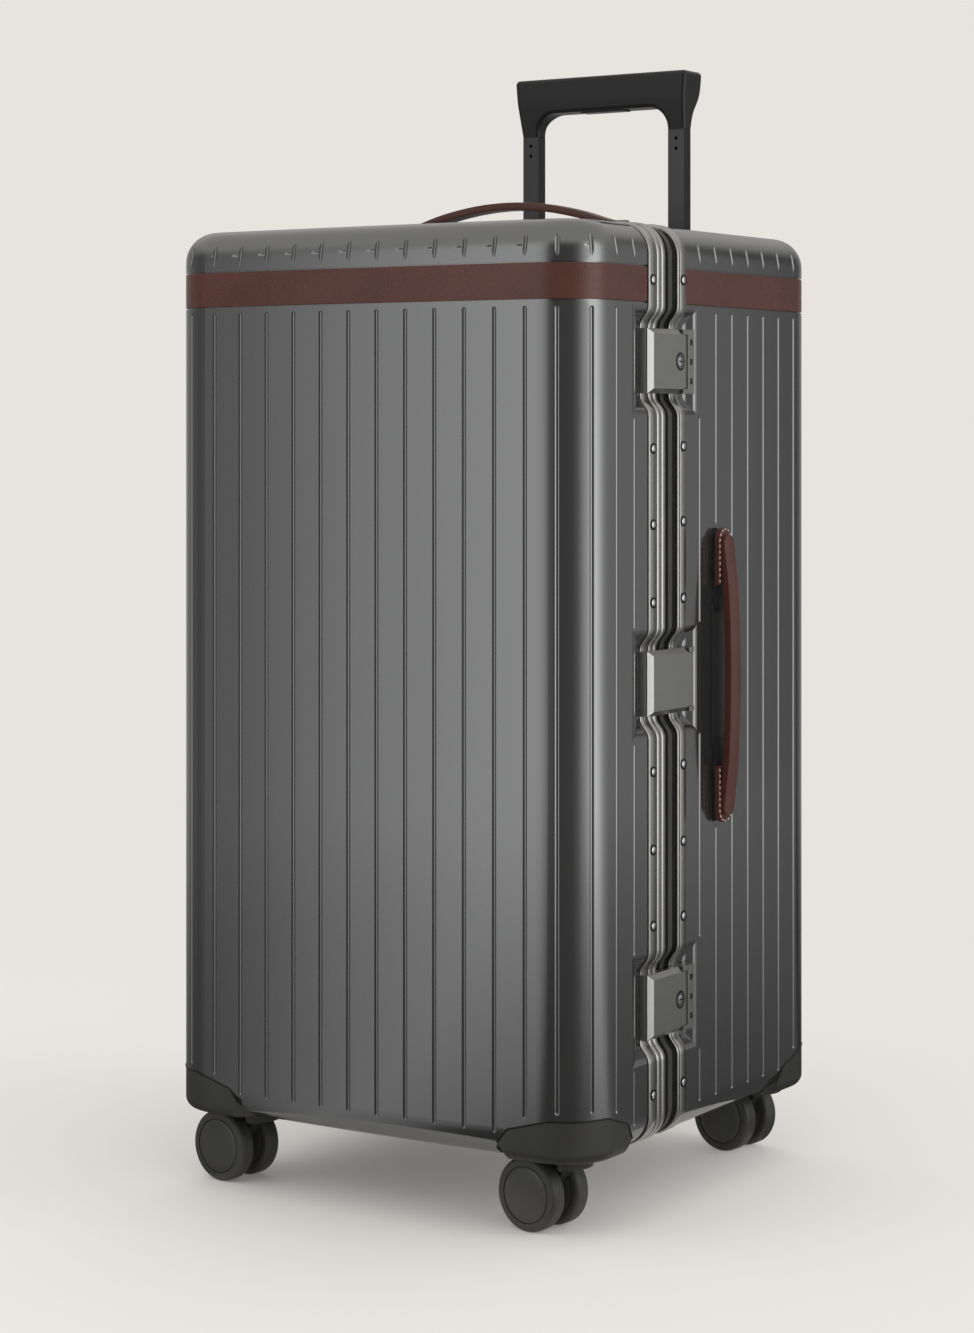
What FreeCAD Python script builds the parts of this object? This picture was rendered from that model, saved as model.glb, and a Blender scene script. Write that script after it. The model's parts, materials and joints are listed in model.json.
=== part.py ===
import FreeCAD, Part
import math
import os

V = FreeCAD.Vector

# Hard-shell trunk suitcase, standing on its casters.
# Millimetres. X runs across the width, the lid faces -Y, Z is up and the floor is at Z = 0.

# Case body
case_width = 404.0
case_depth = 392.0
case_height = 722.0
ground_clearance = 62.0
corner_radius = 45.0
edge_radius = 25.0
front_crown = 5.7
shell_wall = 3.0

# Frame: a strip on the lid and one on the base, with a rubber seal between them
lid_side_depth = 93.7
lid_strip_width = 26.7
lid_flange_width = 15.6
seal_width = 19.0
base_strip_width = 13.6
base_flange_width = 9.0
frame_proud = 1.2
frame_depth = 8.0
frame_web = 2.0
strip_groove_width = 1.0
strip_groove_depth = 0.7
lid_flat_width = 12.5
lid_bead_width = 6.1
base_bead_width = 3.3
seal_thickness = 2.5
seal_ridge_width = 6.0
seal_ridge_height = 3.0
frame_gap = 0.3
seat_clearance = 0.05

# Places where the frame and the shells step inward for a latch
jog_depth = 8.0
jog_run = 10.0
jog_bend = 11.0
jog_margin = 4.5
pocket_lid_margin = 3.0
pocket_lid_run = 16.0
pocket_lid_bend = 30.0
pocket_base_margin = 0.5
pocket_base_run = 7.0
pocket_base_bend = 6.0
pocket_lift = 0.08

# Grooves pressed into the shells
groove_width = 4.0
groove_depth = 1.0
lid_grooves_per_side = 10
base_grooves_per_side = 15
lid_groove_margin = 21.1
base_groove_margin = 24.4
groove_foot = 22.0
groove_guard_gap = 7.0
groove_band_gap = 6.0
groove_latch_gap = 15.9
groove_handle_gap = 5.0
cap_groove_gap = 4.0
cap_groove_reach = 25.0
cap_groove_tilt = 0.18

# Leather band round both shells
band_drop = 33.7
band_height = 29.9
band_thickness = 1.3
band_recess = 1.4

# Rivets on the frame strips
rivet_radius = 4.0
rivet_height = 1.7
rivet_edge = 1.2
rivet_side_shares = (0.0914, 0.1759, 0.2583, 0.4411)
rivet_end_places = (45.0, 120.0)
lid_rivet_drop = 2.5
base_rivet_drop = 1.0

# Latches
latch_share = 0.35
latch_length = 51.0
latch_proud = 3.0
latch_overrun = 10.5
lever_thickness = 4.0
lever_bevel = 3.8
lever_gap = 0.4
lever_front_gap = 0.6
lever_skirt = 2.5
barrel_radius = 4.0
cheek_thickness = 4.0
lever_neck = 6.0
pin_radius = 1.5
pin_clearance = 0.05
clasp_plate = 1.4
lock_block_width = 10.0
cylinder_radius = 5.5
cylinder_proud = 0.3
cylinder_back = 8.5
cylinder_sleeve = 2.0
key_slot_width = 1.4
key_slot_length = 6.0
key_slot_depth = 1.2
dial_radius = 3.8
dial_width = 4.0
dial_spacing = 15.5
dial_proud = 0.2
dial_clearance = 0.3
dial_axle_radius = 1.2
dial_count = 3

# Hinges on the side away from the latches
hinge_share = 0.31855956
hinge_length = 60.0
hinge_knuckle_radius = 4.0
hinge_pin_radius = 2.0
hinge_leaf = 2.0
hinge_middle_length = 28.0
hinge_gap = 0.4
hinge_clearance = 0.3
hinge_leaf_step = 5.0
hinge_leaf_margin = 1.0

# Telescopic trolley
trolley_back = 20.0
trolley_spacing = 149.9
upper_tube = (16.0, 12.0)
tube_gap = 0.3
tube_wall = 1.7
upper_wall = 1.3
tube_end_gap = 7.0
trolley_shown = 101.0
upper_tube_short = 122.0
lower_tube_short = 102.0
tube_hole_radius = 1.5
tube_hole_drops = (8.0, 17.0)
grip_width = 176.5
grip_bar = 31.0
grip_height = 51.0
grip_front = 12.6
grip_back = 19.3
grip_round = 4.0
grip_leg_wall = 1.0
grip_corner = 4.0
grip_inner_round = 17.0
grip_knee = 30.0
grip_knee_bend = 30.0
grip_heel = 13.0
grip_heel_out = 1.5
grip_heel_bend = 25.0
button_length = 44.0
button_width = 12.0
button_height = 11.0
button_proud = 1.2
button_travel = 3.5
button_clearance = 0.3
bezel_side = 17.0
bezel_depth = 26.0
bezel_height = 7.7
bezel_proud = 1.0
bezel_clearance = 0.15

# Leather handles
side_handle_back = 208.0
side_handle_length = 238.0
top_handle_back = 215.5
top_handle_length = 238.0
strap_width = 19.0
strap_thickness = 6.5
strap_edge = 2.2
strap_end_flat = 0.02
strap_flat = 40.0
strap_slope_share = 0.66
strap_bend_share = 0.95
side_arch = 7.0
top_arch = 19.5
anchor_height = 3.0
anchor_length = 66.0
anchor_margin = 2.0
anchor_width = 17.0
anchor_round = 6.0
anchor_plate_width = 23.0
anchor_plate = 1.5
anchor_plate_round = 3.0

# Corner guards, each let into the shell
guard_recess = 1.6
guard_skin = 1.5
guard_gap = 0.2
guard_peak = 34.0
guard_shoulder = 24.5
guard_toe = 8.0
guard_round = 5.0
guard_edge = 9.0
guard_ramp = 9.0
guard_front_shoulder = 69.0
guard_front_toe = 82.0
lid_guard_shoulder = 63.0
lid_guard_toe = 72.0
base_guard_shoulder = 66.0
base_guard_toe = 84.0
guard_corner_flat = 34.0

# Spinner casters
caster_inset_side = 52.0
front_caster_inset = 48.0
rear_caster_inset = 28.0
caster_turn = -8.0
caster_trail = 17.0
wheel_radius = 29.0
wheel_width = 15.0
wheel_gap = 14.0
wheel_edge = 3.5
hub_radius = 21.5
hub_groove = 0.8
axle_radius = 3.0
running_clearance = 0.05
axle_cover = 3.0
fork_side_gap = 0.6
fork_disc_radius = 19.0
fork_disc = 2.6
fork_axle_boss = 8.0
fork_nose = 26.0
fork_nose_height = 9.0
swivel_gap = 0.3
stem_radius = 5.0
stem_length = 8.0
socket_radius = 21.0
socket_clearance = 0.3
socket_drop = 0.5

# Linings
lining_thickness = 1.5
lining_gap = 0.3
lining_round = 16.0

# Derived levels and planes
half_width = case_width / 2
front_y = -case_depth / 2
back_y = case_depth / 2
bottom_z = ground_clearance
top_z = ground_clearance + case_height
middle_z = ground_clearance + case_height / 2
lid_strip_front = front_y + lid_side_depth
lid_strip_back = lid_strip_front + lid_strip_width
base_strip_front = lid_strip_back + seal_width
base_strip_back = base_strip_front + base_strip_width
lid_shell_back = lid_strip_front + lid_flange_width
base_shell_front = base_strip_back - base_flange_width
band_top = top_z - band_drop
band_bottom = band_top - band_height
latch_spacing = case_height * latch_share
latch_levels = {
    "lower": middle_z - latch_spacing,
    "middle": middle_z,
    "upper": middle_z + latch_spacing,
}
jog_half = latch_length / 2 + jog_margin
latch_seat = half_width - jog_depth + frame_proud
latch_top = half_width + latch_proud
latch_back = base_strip_back + latch_overrun
hinge_x = -(half_width + frame_proud + hinge_clearance + hinge_knuckle_radius)
hinge_y = lid_strip_back + seal_width / 2
trolley_y = back_y - trolley_back
caster_x = half_width - caster_inset_side
front_caster_y = front_y + front_caster_inset
rear_caster_y = back_y - rear_caster_inset
side_handle_y = front_y + side_handle_back
top_handle_y = front_y + top_handle_back
crown_radius = (half_width ** 2 + front_crown ** 2) / (2 * front_crown)
crown_center_y = front_y - front_crown + crown_radius
corner_x = half_width - corner_radius
front_corner_y = crown_center_y - math.sqrt((crown_radius - corner_radius) ** 2 - corner_x ** 2)
back_corner_y = back_y - corner_radius
crown_angle = math.asin(corner_x / (crown_radius - corner_radius))
crown_length = crown_radius * crown_angle
front_corner_length = corner_radius * (math.pi / 2 - crown_angle)
back_corner_length = corner_radius * math.pi / 2
lid_path_length = crown_length + front_corner_length + lid_strip_front - front_corner_y
base_path_length = corner_x + back_corner_length + back_corner_y - base_strip_back
upper_tube_length = case_height - upper_tube_short
lower_tube_length = case_height - lower_tube_short
far = 2 * (case_width + case_depth + case_height)
groove_radius = (groove_width ** 2 / 4 + groove_depth ** 2) / (2 * groove_depth)
overcut = 1.0
touch = 0.001


def box(x0, x1, y0, y1, z0, z1):
    return Part.makeBox(x1 - x0, y1 - y0, z1 - z0, V(x0, y0, z0))


def rod(radius, start, end):
    return Part.makeCylinder(radius, (end - start).Length, start, end - start)


def fuse(shapes):
    whole = shapes[0].fuse(shapes[1:]) if len(shapes) > 1 else shapes[0]
    return whole.removeSplitter()


def save(shape, name):
    shape.exportStep("parts/" + name + ".step")


def wall_point(u, v):
    """A point of the XZ plane."""
    return V(u, 0, v)


def floor_point(u, v):
    """A point of the XY plane."""
    return V(u, v, 0)


def side_point(u, v):
    """A point of the YZ plane."""
    return V(0, u, v)


def rounded_face(corners, place):
    """A closed outline of (u, v, radius) corners, with each corner rounded by its radius."""
    edges = []
    last = None
    first = None
    count = len(corners)
    for index, (u, v, radius) in enumerate(corners):
        here = place(u, v)
        before = place(*corners[index - 1][:2]) - here
        after = place(*corners[(index + 1) % count][:2]) - here
        before.normalize()
        after.normalize()
        enter = here
        leave = here
        if radius > 0:
            half = before.getAngle(after) / 2
            inward = before + after
            inward.normalize()
            enter = here + before * (radius / math.tan(half))
            leave = here + after * (radius / math.tan(half))
            middle = here + inward * (radius / math.sin(half) - radius)
        if last is None:
            first = enter
        else:
            edges.append(Part.LineSegment(last, enter).toShape())
        if radius > 0:
            edges.append(Part.Arc(enter, middle, leave).toShape())
        last = leave
    edges.append(Part.LineSegment(last, first).toShape())
    return Part.Face(Part.Wire(edges))


def grown(corners, distance):
    """A counterclockwise outline of (u, v, radius) corners, moved outward by a distance."""
    moved = []
    count = len(corners)
    for index, (u, v, radius) in enumerate(corners):
        pu, pv, _ = corners[index - 1]
        nu, nv, _ = corners[(index + 1) % count]
        into = V(u - pu, v - pv, 0)
        out = V(nu - u, nv - v, 0)
        into.normalize()
        out.normalize()
        normal_in = V(into.y, -into.x, 0)
        normal_out = V(out.y, -out.x, 0)
        shift = (normal_in + normal_out) * (distance / (1 + normal_in.dot(normal_out)))
        turn = into.x * out.y - into.y * out.x
        rounding = radius + distance if turn > 0 else radius - distance
        moved.append((u + shift.x, v + shift.y, rounding if radius > 0 else 0.0))
    return moved


def case_outline(inset):
    """The closed outline of the case seen from above, moved inward by inset."""
    crown = crown_radius - inset
    corner = corner_radius - inset
    side = half_width - inset
    tip_x = crown * math.sin(crown_angle)
    tip_y = crown_center_y - crown * math.cos(crown_angle)
    turn = (crown_angle + math.pi / 2) / 2
    bend = corner * math.sqrt(0.5)
    bend_x = corner_x + corner * math.sin(turn)
    bend_y = front_corner_y - corner * math.cos(turn)
    rear = back_y - inset
    edges = [
        Part.Arc(V(-tip_x, tip_y, 0), V(0, crown_center_y - crown, 0), V(tip_x, tip_y, 0)),
        Part.Arc(V(tip_x, tip_y, 0), V(bend_x, bend_y, 0), V(side, front_corner_y, 0)),
        Part.LineSegment(V(side, front_corner_y, 0), V(side, back_corner_y, 0)),
        Part.Arc(V(side, back_corner_y, 0), V(corner_x + bend, back_corner_y + bend, 0),
                 V(corner_x, rear, 0)),
        Part.LineSegment(V(corner_x, rear, 0), V(-corner_x, rear, 0)),
        Part.Arc(V(-corner_x, rear, 0), V(-corner_x - bend, back_corner_y + bend, 0),
                 V(-side, back_corner_y, 0)),
        Part.LineSegment(V(-side, back_corner_y, 0), V(-side, front_corner_y, 0)),
        Part.Arc(V(-side, front_corner_y, 0), V(-bend_x, bend_y, 0), V(-tip_x, tip_y, 0)),
    ]
    return Part.Face(Part.Wire([edge.toShape() for edge in edges]))


def case_block(inset, low_radius=edge_radius):
    """The whole case as one rounded block, moved inward by inset."""
    low = bottom_z + inset
    high = top_z - inset
    face = case_outline(inset)
    face.translate(V(0, 0, low))
    block = face.extrude(V(0, 0, high - low))
    upper = [edge for edge in block.Edges if edge.BoundBox.ZMin > high - touch]
    block = block.makeFillet(edge_radius - inset, upper)
    lower = [edge for edge in block.Edges if edge.BoundBox.ZMax < low + touch]
    return block.makeFillet(low_radius - inset, lower)


def jog_corners():
    """The frame's outline in the XZ plane, with a step inward at each latch."""
    corners = [(-half_width, bottom_z, edge_radius), (half_width, bottom_z, edge_radius)]
    floor_x = half_width - jog_depth
    for level in sorted(latch_levels.values()):
        corners.append((half_width, level - jog_half - jog_run, jog_bend))
        corners.append((floor_x, level - jog_half, jog_bend))
        corners.append((floor_x, level + jog_half, jog_bend))
        corners.append((half_width, level + jog_half + jog_run, jog_bend))
    corners.append((half_width, top_z, edge_radius))
    corners.append((-half_width, top_z, edge_radius))
    return corners


def frame_ring(outside, inside, y0, y1):
    """A ring that follows the frame's outline between two offsets and two depths."""
    outer = rounded_face(grown(jog_corners(), outside), wall_point)
    inner = rounded_face(grown(jog_corners(), inside), wall_point)
    ring = outer.cut(inner)
    ring.translate(V(0, y0, 0))
    return ring.extrude(V(0, y1 - y0, 0))


def outside_frame(y0, y1):
    """All the space outside the frame's outline between two depths."""
    core = rounded_face(jog_corners(), wall_point)
    core.translate(V(0, y0, 0))
    return box(-far, far, y0, y1, -far, far).cut(core.extrude(V(0, y1 - y0, 0)))


def dip_corners(outer_low, low, low_bend, high, outer_high, high_bend):
    """Outline of the space over a dip in the case's side, from X and one other axis."""
    floor_x = half_width - jog_depth
    rim_x = half_width + pocket_lift
    return [
        (rim_x, outer_low - far, 0.0),
        (far, outer_low - far, 0.0),
        (far, outer_high + far, 0.0),
        (rim_x, outer_high + far, 0.0),
        (rim_x, outer_high, high_bend),
        (floor_x, high, high_bend),
        (floor_x, low, low_bend),
        (rim_x, outer_low, low_bend),
    ]


def latch_pocket(level, grow):
    """The hollow under one latch, with smooth sides, grown by a wall."""
    low = level - jog_half
    high = level + jog_half
    upright = dip_corners(low - jog_run, low, jog_bend, high, high + jog_run, jog_bend)
    near = lid_strip_front - pocket_lid_margin
    back = latch_back + pocket_base_margin
    level_cut = dip_corners(near - pocket_lid_run, near, pocket_lid_bend,
                            back, back + pocket_base_run, pocket_base_bend)
    tall = rounded_face(grown(upright, grow), wall_point)
    tall.translate(V(0, -far, 0))
    wide = rounded_face(grown(level_cut, grow), floor_point)
    wide.translate(V(0, 0, -far))
    return tall.extrude(V(0, 2 * far, 0)).common(wide.extrude(V(0, 0, 2 * far)))


def front_path(s):
    """Point and outward direction on the lid, s along its outline from the middle of the front."""
    if s < crown_length:
        angle = s / crown_radius
        out = V(math.sin(angle), -math.cos(angle), 0)
        return V(0, crown_center_y, 0) + out * crown_radius, out
    if s < crown_length + front_corner_length:
        angle = crown_angle + (s - crown_length) / corner_radius
        out = V(math.sin(angle), -math.cos(angle), 0)
        return V(corner_x, front_corner_y, 0) + out * corner_radius, out
    return V(half_width, front_corner_y + s - crown_length - front_corner_length, 0), V(1, 0, 0)


def back_path(s):
    """Point and outward direction on the base, s along its outline from the middle of the back."""
    if s < corner_x:
        return V(s, back_y, 0), V(0, 1, 0)
    if s < corner_x + back_corner_length:
        angle = (s - corner_x) / corner_radius
        out = V(math.sin(angle), math.cos(angle), 0)
        return V(corner_x, back_corner_y, 0) + out * corner_radius, out
    return V(half_width, back_corner_y - (s - corner_x - back_corner_length), 0), V(1, 0, 0)


def groove_rod(radius, start, end, out):
    """A rod whose seam faces outward, clear of the shell that it is pressed into."""
    along = end - start
    piece = Part.makeCylinder(radius, along.Length)
    piece.Placement = FreeCAD.Placement(start, FreeCAD.Rotation(out, V(), along, "ZXY"))
    return piece


def capsule(point, out, low, high):
    """A rod with round ends that presses one groove into the shell."""
    axis = point + out * (groove_radius - groove_depth)
    start = V(axis.x, axis.y, low)
    end = V(axis.x, axis.y, high)
    pieces = [groove_rod(groove_radius, start, end, out)]
    for center in (start, end):
        ball = Part.makeSphere(groove_radius)
        ball.Placement = FreeCAD.Placement(center, FreeCAD.Rotation(out, V(), V(0, 0, 1), "ZXY"))
        pieces.append(ball)
    return fuse(pieces)


def cap_cutter(point, out):
    """A leaning rod for the short groove above the band, which fades out at both ends."""
    foot = V(point.x, point.y, band_top + cap_groove_gap) + out * groove_radius
    lean = V(0, 0, 1) - out * cap_groove_tilt
    return groove_rod(groove_radius, foot - lean * cap_groove_gap, foot + lean * cap_groove_reach, out)


def guard_profile(shoulder, toe):
    """Corners of a guard's side view: distance in from the case's corner, height, rounding."""
    return [
        (-far, bottom_z - far, 0.0),
        (-far, bottom_z + guard_peak, 0.0),
        (guard_corner_flat, bottom_z + guard_peak, guard_round),
        (shoulder, bottom_z + guard_shoulder, guard_round),
        (toe, bottom_z + guard_toe, guard_round),
        (toe, bottom_z - far, 0.0),
    ]


def guard_sides(is_lid):
    front = guard_profile(guard_front_shoulder, guard_front_toe)
    if is_lid:
        return front, guard_profile(lid_guard_shoulder, lid_guard_toe)
    return front, guard_profile(base_guard_shoulder, base_guard_toe)


def profile_height(profile, inward):
    """Height of a guard's upper edge at a distance in from the case's corner."""
    for (u0, v0, _), (u1, v1, _) in zip(profile[1:4], profile[2:5]):
        if inward <= u1:
            return v0 + (v1 - v0) * (inward - u0) / (u1 - u0)
    return bottom_z


def guard_height(point, is_lid):
    across, along = guard_sides(is_lid)
    side_in = half_width - abs(point.x)
    end_in = point.y - front_y if is_lid else back_y - point.y
    return min(profile_height(across, side_in), profile_height(along, end_in))


def guard_region(is_lid, margin):
    """The block of space that a right-hand corner guard fills, grown by a margin."""
    across, along = guard_sides(is_lid)
    end = front_y if is_lid else back_y
    inward = 1 if is_lid else -1
    front_corners = [(half_width - u, v, radius) for u, v, radius in across]
    side_corners = [(end + inward * u, v, radius) for u, v, radius in along]
    if is_lid:
        side_corners.reverse()
    front_face = rounded_face(grown(front_corners, margin), wall_point)
    side_face = rounded_face(grown(side_corners, margin), side_point)
    front_face.translate(V(0, -far, 0))
    side_face.translate(V(-far, 0, 0))
    return front_face.extrude(V(0, 2 * far, 0)).common(side_face.extrude(V(2 * far, 0, 0)))


def ramp_cutter(toe_point, out, to_corner):
    """The space beyond a plane that leads from the shell's rounding up to a guard's fuller edge."""
    shell_depth = (math.sqrt(2) - 1) * edge_radius
    guard_depth = (math.sqrt(2) - 1) * guard_edge
    normal = out - to_corner * ((shell_depth - guard_depth) / guard_ramp)
    block = Part.makeBox(2 * far, 2 * far, far, V(-far, -far, 0))
    turn = FreeCAD.Rotation(V(0, 0, 1), normal)
    block.Placement = FreeCAD.Placement(toe_point - out * shell_depth, turn)
    return block


def guard_body(is_lid):
    """A right-hand corner guard before its socket: flush with the shell, fuller at the corner."""
    across, along = guard_sides(is_lid)
    end = front_y if is_lid else back_y
    facing = -1 if is_lid else 1
    front_toe = V(half_width - across[4][0], end, bottom_z)
    side_toe = V(half_width, end - facing * along[4][0], bottom_z)
    front_out = V(0, facing, -1) * math.sqrt(0.5)
    side_out = V(1, 0, -1) * math.sqrt(0.5)
    ramps = [ramp_cutter(front_toe, front_out, V(1, 0, 0)), ramp_cutter(side_toe, side_out, V(0, facing, 0))]
    body = case_block(0.0, guard_edge).common(guard_region(is_lid, 0.0))
    return body.cut(ramps).cut(case_block(guard_skin))


def mirrored(shape):
    return shape.mirror(V(0, 0, 0), V(1, 0, 0))


def groove_spans(foot, breaks):
    """Height ranges of the long groove at one place, left out at each (middle, half) break."""
    lows = [foot]
    highs = []
    for middle, half in breaks:
        lows.append(middle + half)
        highs.append(middle - half)
    highs.append(band_bottom - groove_band_gap)
    return [(low, high) for low, high in zip(lows, highs) if high - low > groove_width]


def groove_breaks(point, is_last):
    """Where a groove on the latch side stops: beside the latches and under the side handle."""
    if is_last:
        return [(level, jog_half + groove_latch_gap) for level in sorted(latch_levels.values())]
    beside_handle = abs(point.y - side_handle_y) < (anchor_plate_width + groove_width) / 2
    if beside_handle and point.x > corner_x:
        return [(middle_z, side_handle_length / 2 + groove_handle_gap)]
    return []


def groove_cutters(is_lid):
    if is_lid:
        path, count = front_path, lid_grooves_per_side
        pitch = (lid_path_length - lid_groove_margin) / (count - 0.5)
    else:
        path, count = back_path, base_grooves_per_side
        pitch = (base_path_length - base_groove_margin) / (count - 0.5)
    cutters = []
    for index in range(count):
        point, out = path((index + 0.5) * pitch)
        foot = max(bottom_z + groove_foot, guard_height(point, is_lid) + groove_guard_gap)
        for side in (1, -1):
            there = V(point.x * side, point.y, 0)
            facing = V(out.x * side, out.y, 0)
            breaks = groove_breaks(there, index == count - 1) if side > 0 else []
            for low, high in groove_spans(foot, breaks):
                cutters.append(capsule(there, facing, low, high))
            cutters.append(cap_cutter(there, facing))
    return cutters


def swivel_points(is_lid):
    y = front_caster_y if is_lid else rear_caster_y
    return {"right": V(caster_x, y, 0), "left": V(-caster_x, y, 0)}


def make_shells():
    pockets = [latch_pocket(level, 0.0) for level in latch_levels.values()]
    deep_pockets = [latch_pocket(level, shell_wall) for level in latch_levels.values()]
    outside = case_block(0.0).cut(pockets)
    inside = case_block(shell_wall).cut(deep_pockets)
    whole = outside.cut(inside)
    band_hole = box(-far, far, -far, far, band_bottom, band_top).cut(case_block(band_recess))
    guard_floor = case_block(guard_recess)
    for is_lid, name in ((True, "front_shell"), (False, "rear_shell")):
        if is_lid:
            half = box(-far, far, -far, lid_shell_back, 0, far)
            flange = outside_frame(lid_strip_front, lid_shell_back)
        else:
            half = box(-far, far, base_shell_front, far, 0, far)
            flange = outside_frame(base_shell_front, base_strip_back)
        corner = guard_region(is_lid, guard_gap)
        corners = [corner.cut(guard_floor), mirrored(corner).cut(guard_floor)]
        holes = []
        for point in swivel_points(is_lid).values():
            low = V(point.x, point.y, 0)
            high = V(point.x, point.y, bottom_z + edge_radius)
            holes.append(rod(socket_radius + socket_clearance, low, high))
        shell = whole.common(half)
        for cutters in ([flange], [band_hole], corners, holes, groove_cutters(is_lid)):
            shell = shell.cut(cutters)
        if not is_lid:
            shell = shell.cut(bezel_block(bezel_clearance))
        save(shell, name)


def make_bands():
    slab = box(-far, far, -far, far, band_bottom + guard_gap, band_top - guard_gap)
    ring = case_block(0.0).cut(case_block(band_thickness)).common(slab)
    lid_part = box(-far, far, -far, lid_strip_front - frame_gap, 0, far)
    base_part = box(-far, far, base_strip_back + frame_gap, far, 0, far)
    save(ring.common(lid_part), "lid_band")
    save(ring.common(base_part), "base_band")


def strip_groove(y):
    return frame_ring(frame_proud + overcut, frame_proud - strip_groove_depth, y, y + strip_groove_width)


def make_frames():
    lid_flange = frame_ring(frame_proud, seat_clearance, lid_strip_front, lid_shell_back)
    lid_rail = frame_ring(frame_proud, -frame_depth, lid_shell_back + seat_clearance, lid_strip_back)
    lid_join = frame_ring(frame_proud, seat_clearance, lid_shell_back, lid_shell_back + seat_clearance)
    first = lid_strip_front + lid_flat_width
    lid_grooves = [strip_groove(first), strip_groove(first + strip_groove_width + lid_bead_width)]
    save(fuse([lid_flange, lid_join, lid_rail]).cut(lid_grooves), "lid_frame")

    base_flange = frame_ring(frame_proud, seat_clearance, base_shell_front, base_strip_back)
    base_rail = frame_ring(frame_proud, -frame_depth, base_strip_front, base_shell_front - seat_clearance)
    base_join = frame_ring(frame_proud, seat_clearance, base_shell_front - seat_clearance, base_shell_front)
    web = frame_ring(frame_web - frame_depth, -frame_depth, lid_strip_back + frame_gap, base_strip_front)
    base_groove = strip_groove(base_strip_front + base_bead_width)
    save(fuse([base_flange, base_join, base_rail, web]).cut(base_groove), "base_frame")

    seal_floor = frame_web - frame_depth + seat_clearance
    seal_top = seal_floor + seal_thickness
    middle = (lid_strip_back + base_strip_front) / 2
    seal = frame_ring(seal_top, seal_floor, lid_strip_back + frame_gap, base_strip_front - seat_clearance)
    ridge = frame_ring(seal_top + seal_ridge_height, seal_top, middle - seal_ridge_width / 2,
                       middle + seal_ridge_width / 2)
    save(fuse([seal, ridge]), "frame_seal")


def rivet(seat, out):
    """One rivet head, flat on its seat, with a rounded rim."""
    head = rod(rivet_radius, seat, seat + out * rivet_height)
    rims = [edge for edge in head.Edges if (edge.CenterOfMass - seat).dot(out) > rivet_height * 0.9]
    return head.makeFillet(rivet_edge, rims)


def make_rivets():
    side_x = half_width + frame_proud
    lid_y = lid_strip_front + lid_flat_width / 2
    base_y = (base_strip_front + base_bead_width + strip_groove_width + base_strip_back) / 2
    for y, drop, name in (
        (lid_y, lid_rivet_drop, "lid_frame_rivets"),
        (base_y, base_rivet_drop, "base_frame_rivets"),
    ):
        heads = []
        for share in rivet_side_shares:
            for z in (middle_z - share * case_height, middle_z + share * case_height):
                heads.append(rivet(V(side_x, y, z - drop), V(1, 0, 0)))
                heads.append(rivet(V(-side_x, y, z - drop), V(-1, 0, 0)))
        for x in rivet_end_places:
            for place in (-x, x):
                heads.append(rivet(V(place, y, top_z + frame_proud), V(0, 0, 1)))
                heads.append(rivet(V(place, y, bottom_z - frame_proud), V(0, 0, -1)))
        save(Part.makeCompound(heads), name)


def latch_pivot(has_lock):
    """Where a lever turns: behind the lock's block, or at the latch's far end."""
    end = latch_back - lock_block_width - frame_gap if has_lock else latch_back
    return V(latch_top - barrel_radius, end - barrel_radius, 0)


def cylinder_place(level):
    return V(latch_top, latch_pivot(True).y - cylinder_back, level)


def dial_place(level, index):
    y = latch_back - lock_block_width / 2
    z = level + (index - (dial_count - 1) / 2) * dial_spacing
    return V(latch_top + dial_proud - dial_radius, y, z)


def make_lever(level, has_lock):
    pivot = latch_pivot(has_lock)
    z0 = level - latch_length / 2
    z1 = level + latch_length / 2
    y0 = lid_strip_front + lever_front_gap
    under = latch_top - lever_thickness
    neck_y = pivot.y - lever_neck
    plate = box(under, latch_top, y0, neck_y, z0, z1)
    bevelled = [
        edge for edge in plate.Edges
        if edge.BoundBox.XMin > latch_top - 0.001 and edge.BoundBox.YMin < neck_y - 0.001
    ]
    plate = plate.makeChamfer(lever_bevel, bevelled)
    in0 = z0 + cheek_thickness + lever_gap
    in1 = z1 - cheek_thickness - lever_gap
    neck = box(under, latch_top, neck_y, pivot.y, in0, in1)
    barrel = rod(barrel_radius, V(pivot.x, pivot.y, in0), V(pivot.x, pivot.y, in1))
    skirt_y0 = lid_strip_back - frame_gap
    skirt_x0 = latch_seat + clasp_plate + lever_gap
    pieces = [plate, neck, barrel]
    for side in (z0, z1 - lever_skirt):
        pieces.append(box(skirt_x0, under, skirt_y0, neck_y, side, side + lever_skirt))
    bores = [rod(pin_radius + pin_clearance, V(pivot.x, pivot.y, z0), V(pivot.x, pivot.y, z1))]
    if has_lock:
        place = cylinder_place(level)
        back = V(skirt_x0, place.y, place.z)
        pieces.append(rod(cylinder_radius + cylinder_sleeve, back, V(under, place.y, place.z)))
        bores.append(rod(cylinder_radius + running_clearance, back, place + V(1, 0, 0)))
    return fuse(pieces).cut(bores)


def make_cylinder(level):
    place = cylinder_place(level)
    face_x = place.x + cylinder_proud
    back = V(latch_seat + clasp_plate + lever_gap, place.y, place.z)
    body = rod(cylinder_radius, back, V(face_x, place.y, place.z))
    slot = box(face_x - key_slot_depth, face_x + overcut, place.y - key_slot_width / 2,
               place.y + key_slot_width / 2, place.z - key_slot_length / 2, place.z + key_slot_length / 2)
    return body.cut(slot)


def make_dial(level, index):
    place = dial_place(level, index)
    low = place - V(0, 0, dial_width / 2)
    high = place + V(0, 0, dial_width / 2)
    return rod(dial_radius, low, high).cut(rod(dial_axle_radius + running_clearance, low, high))


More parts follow.
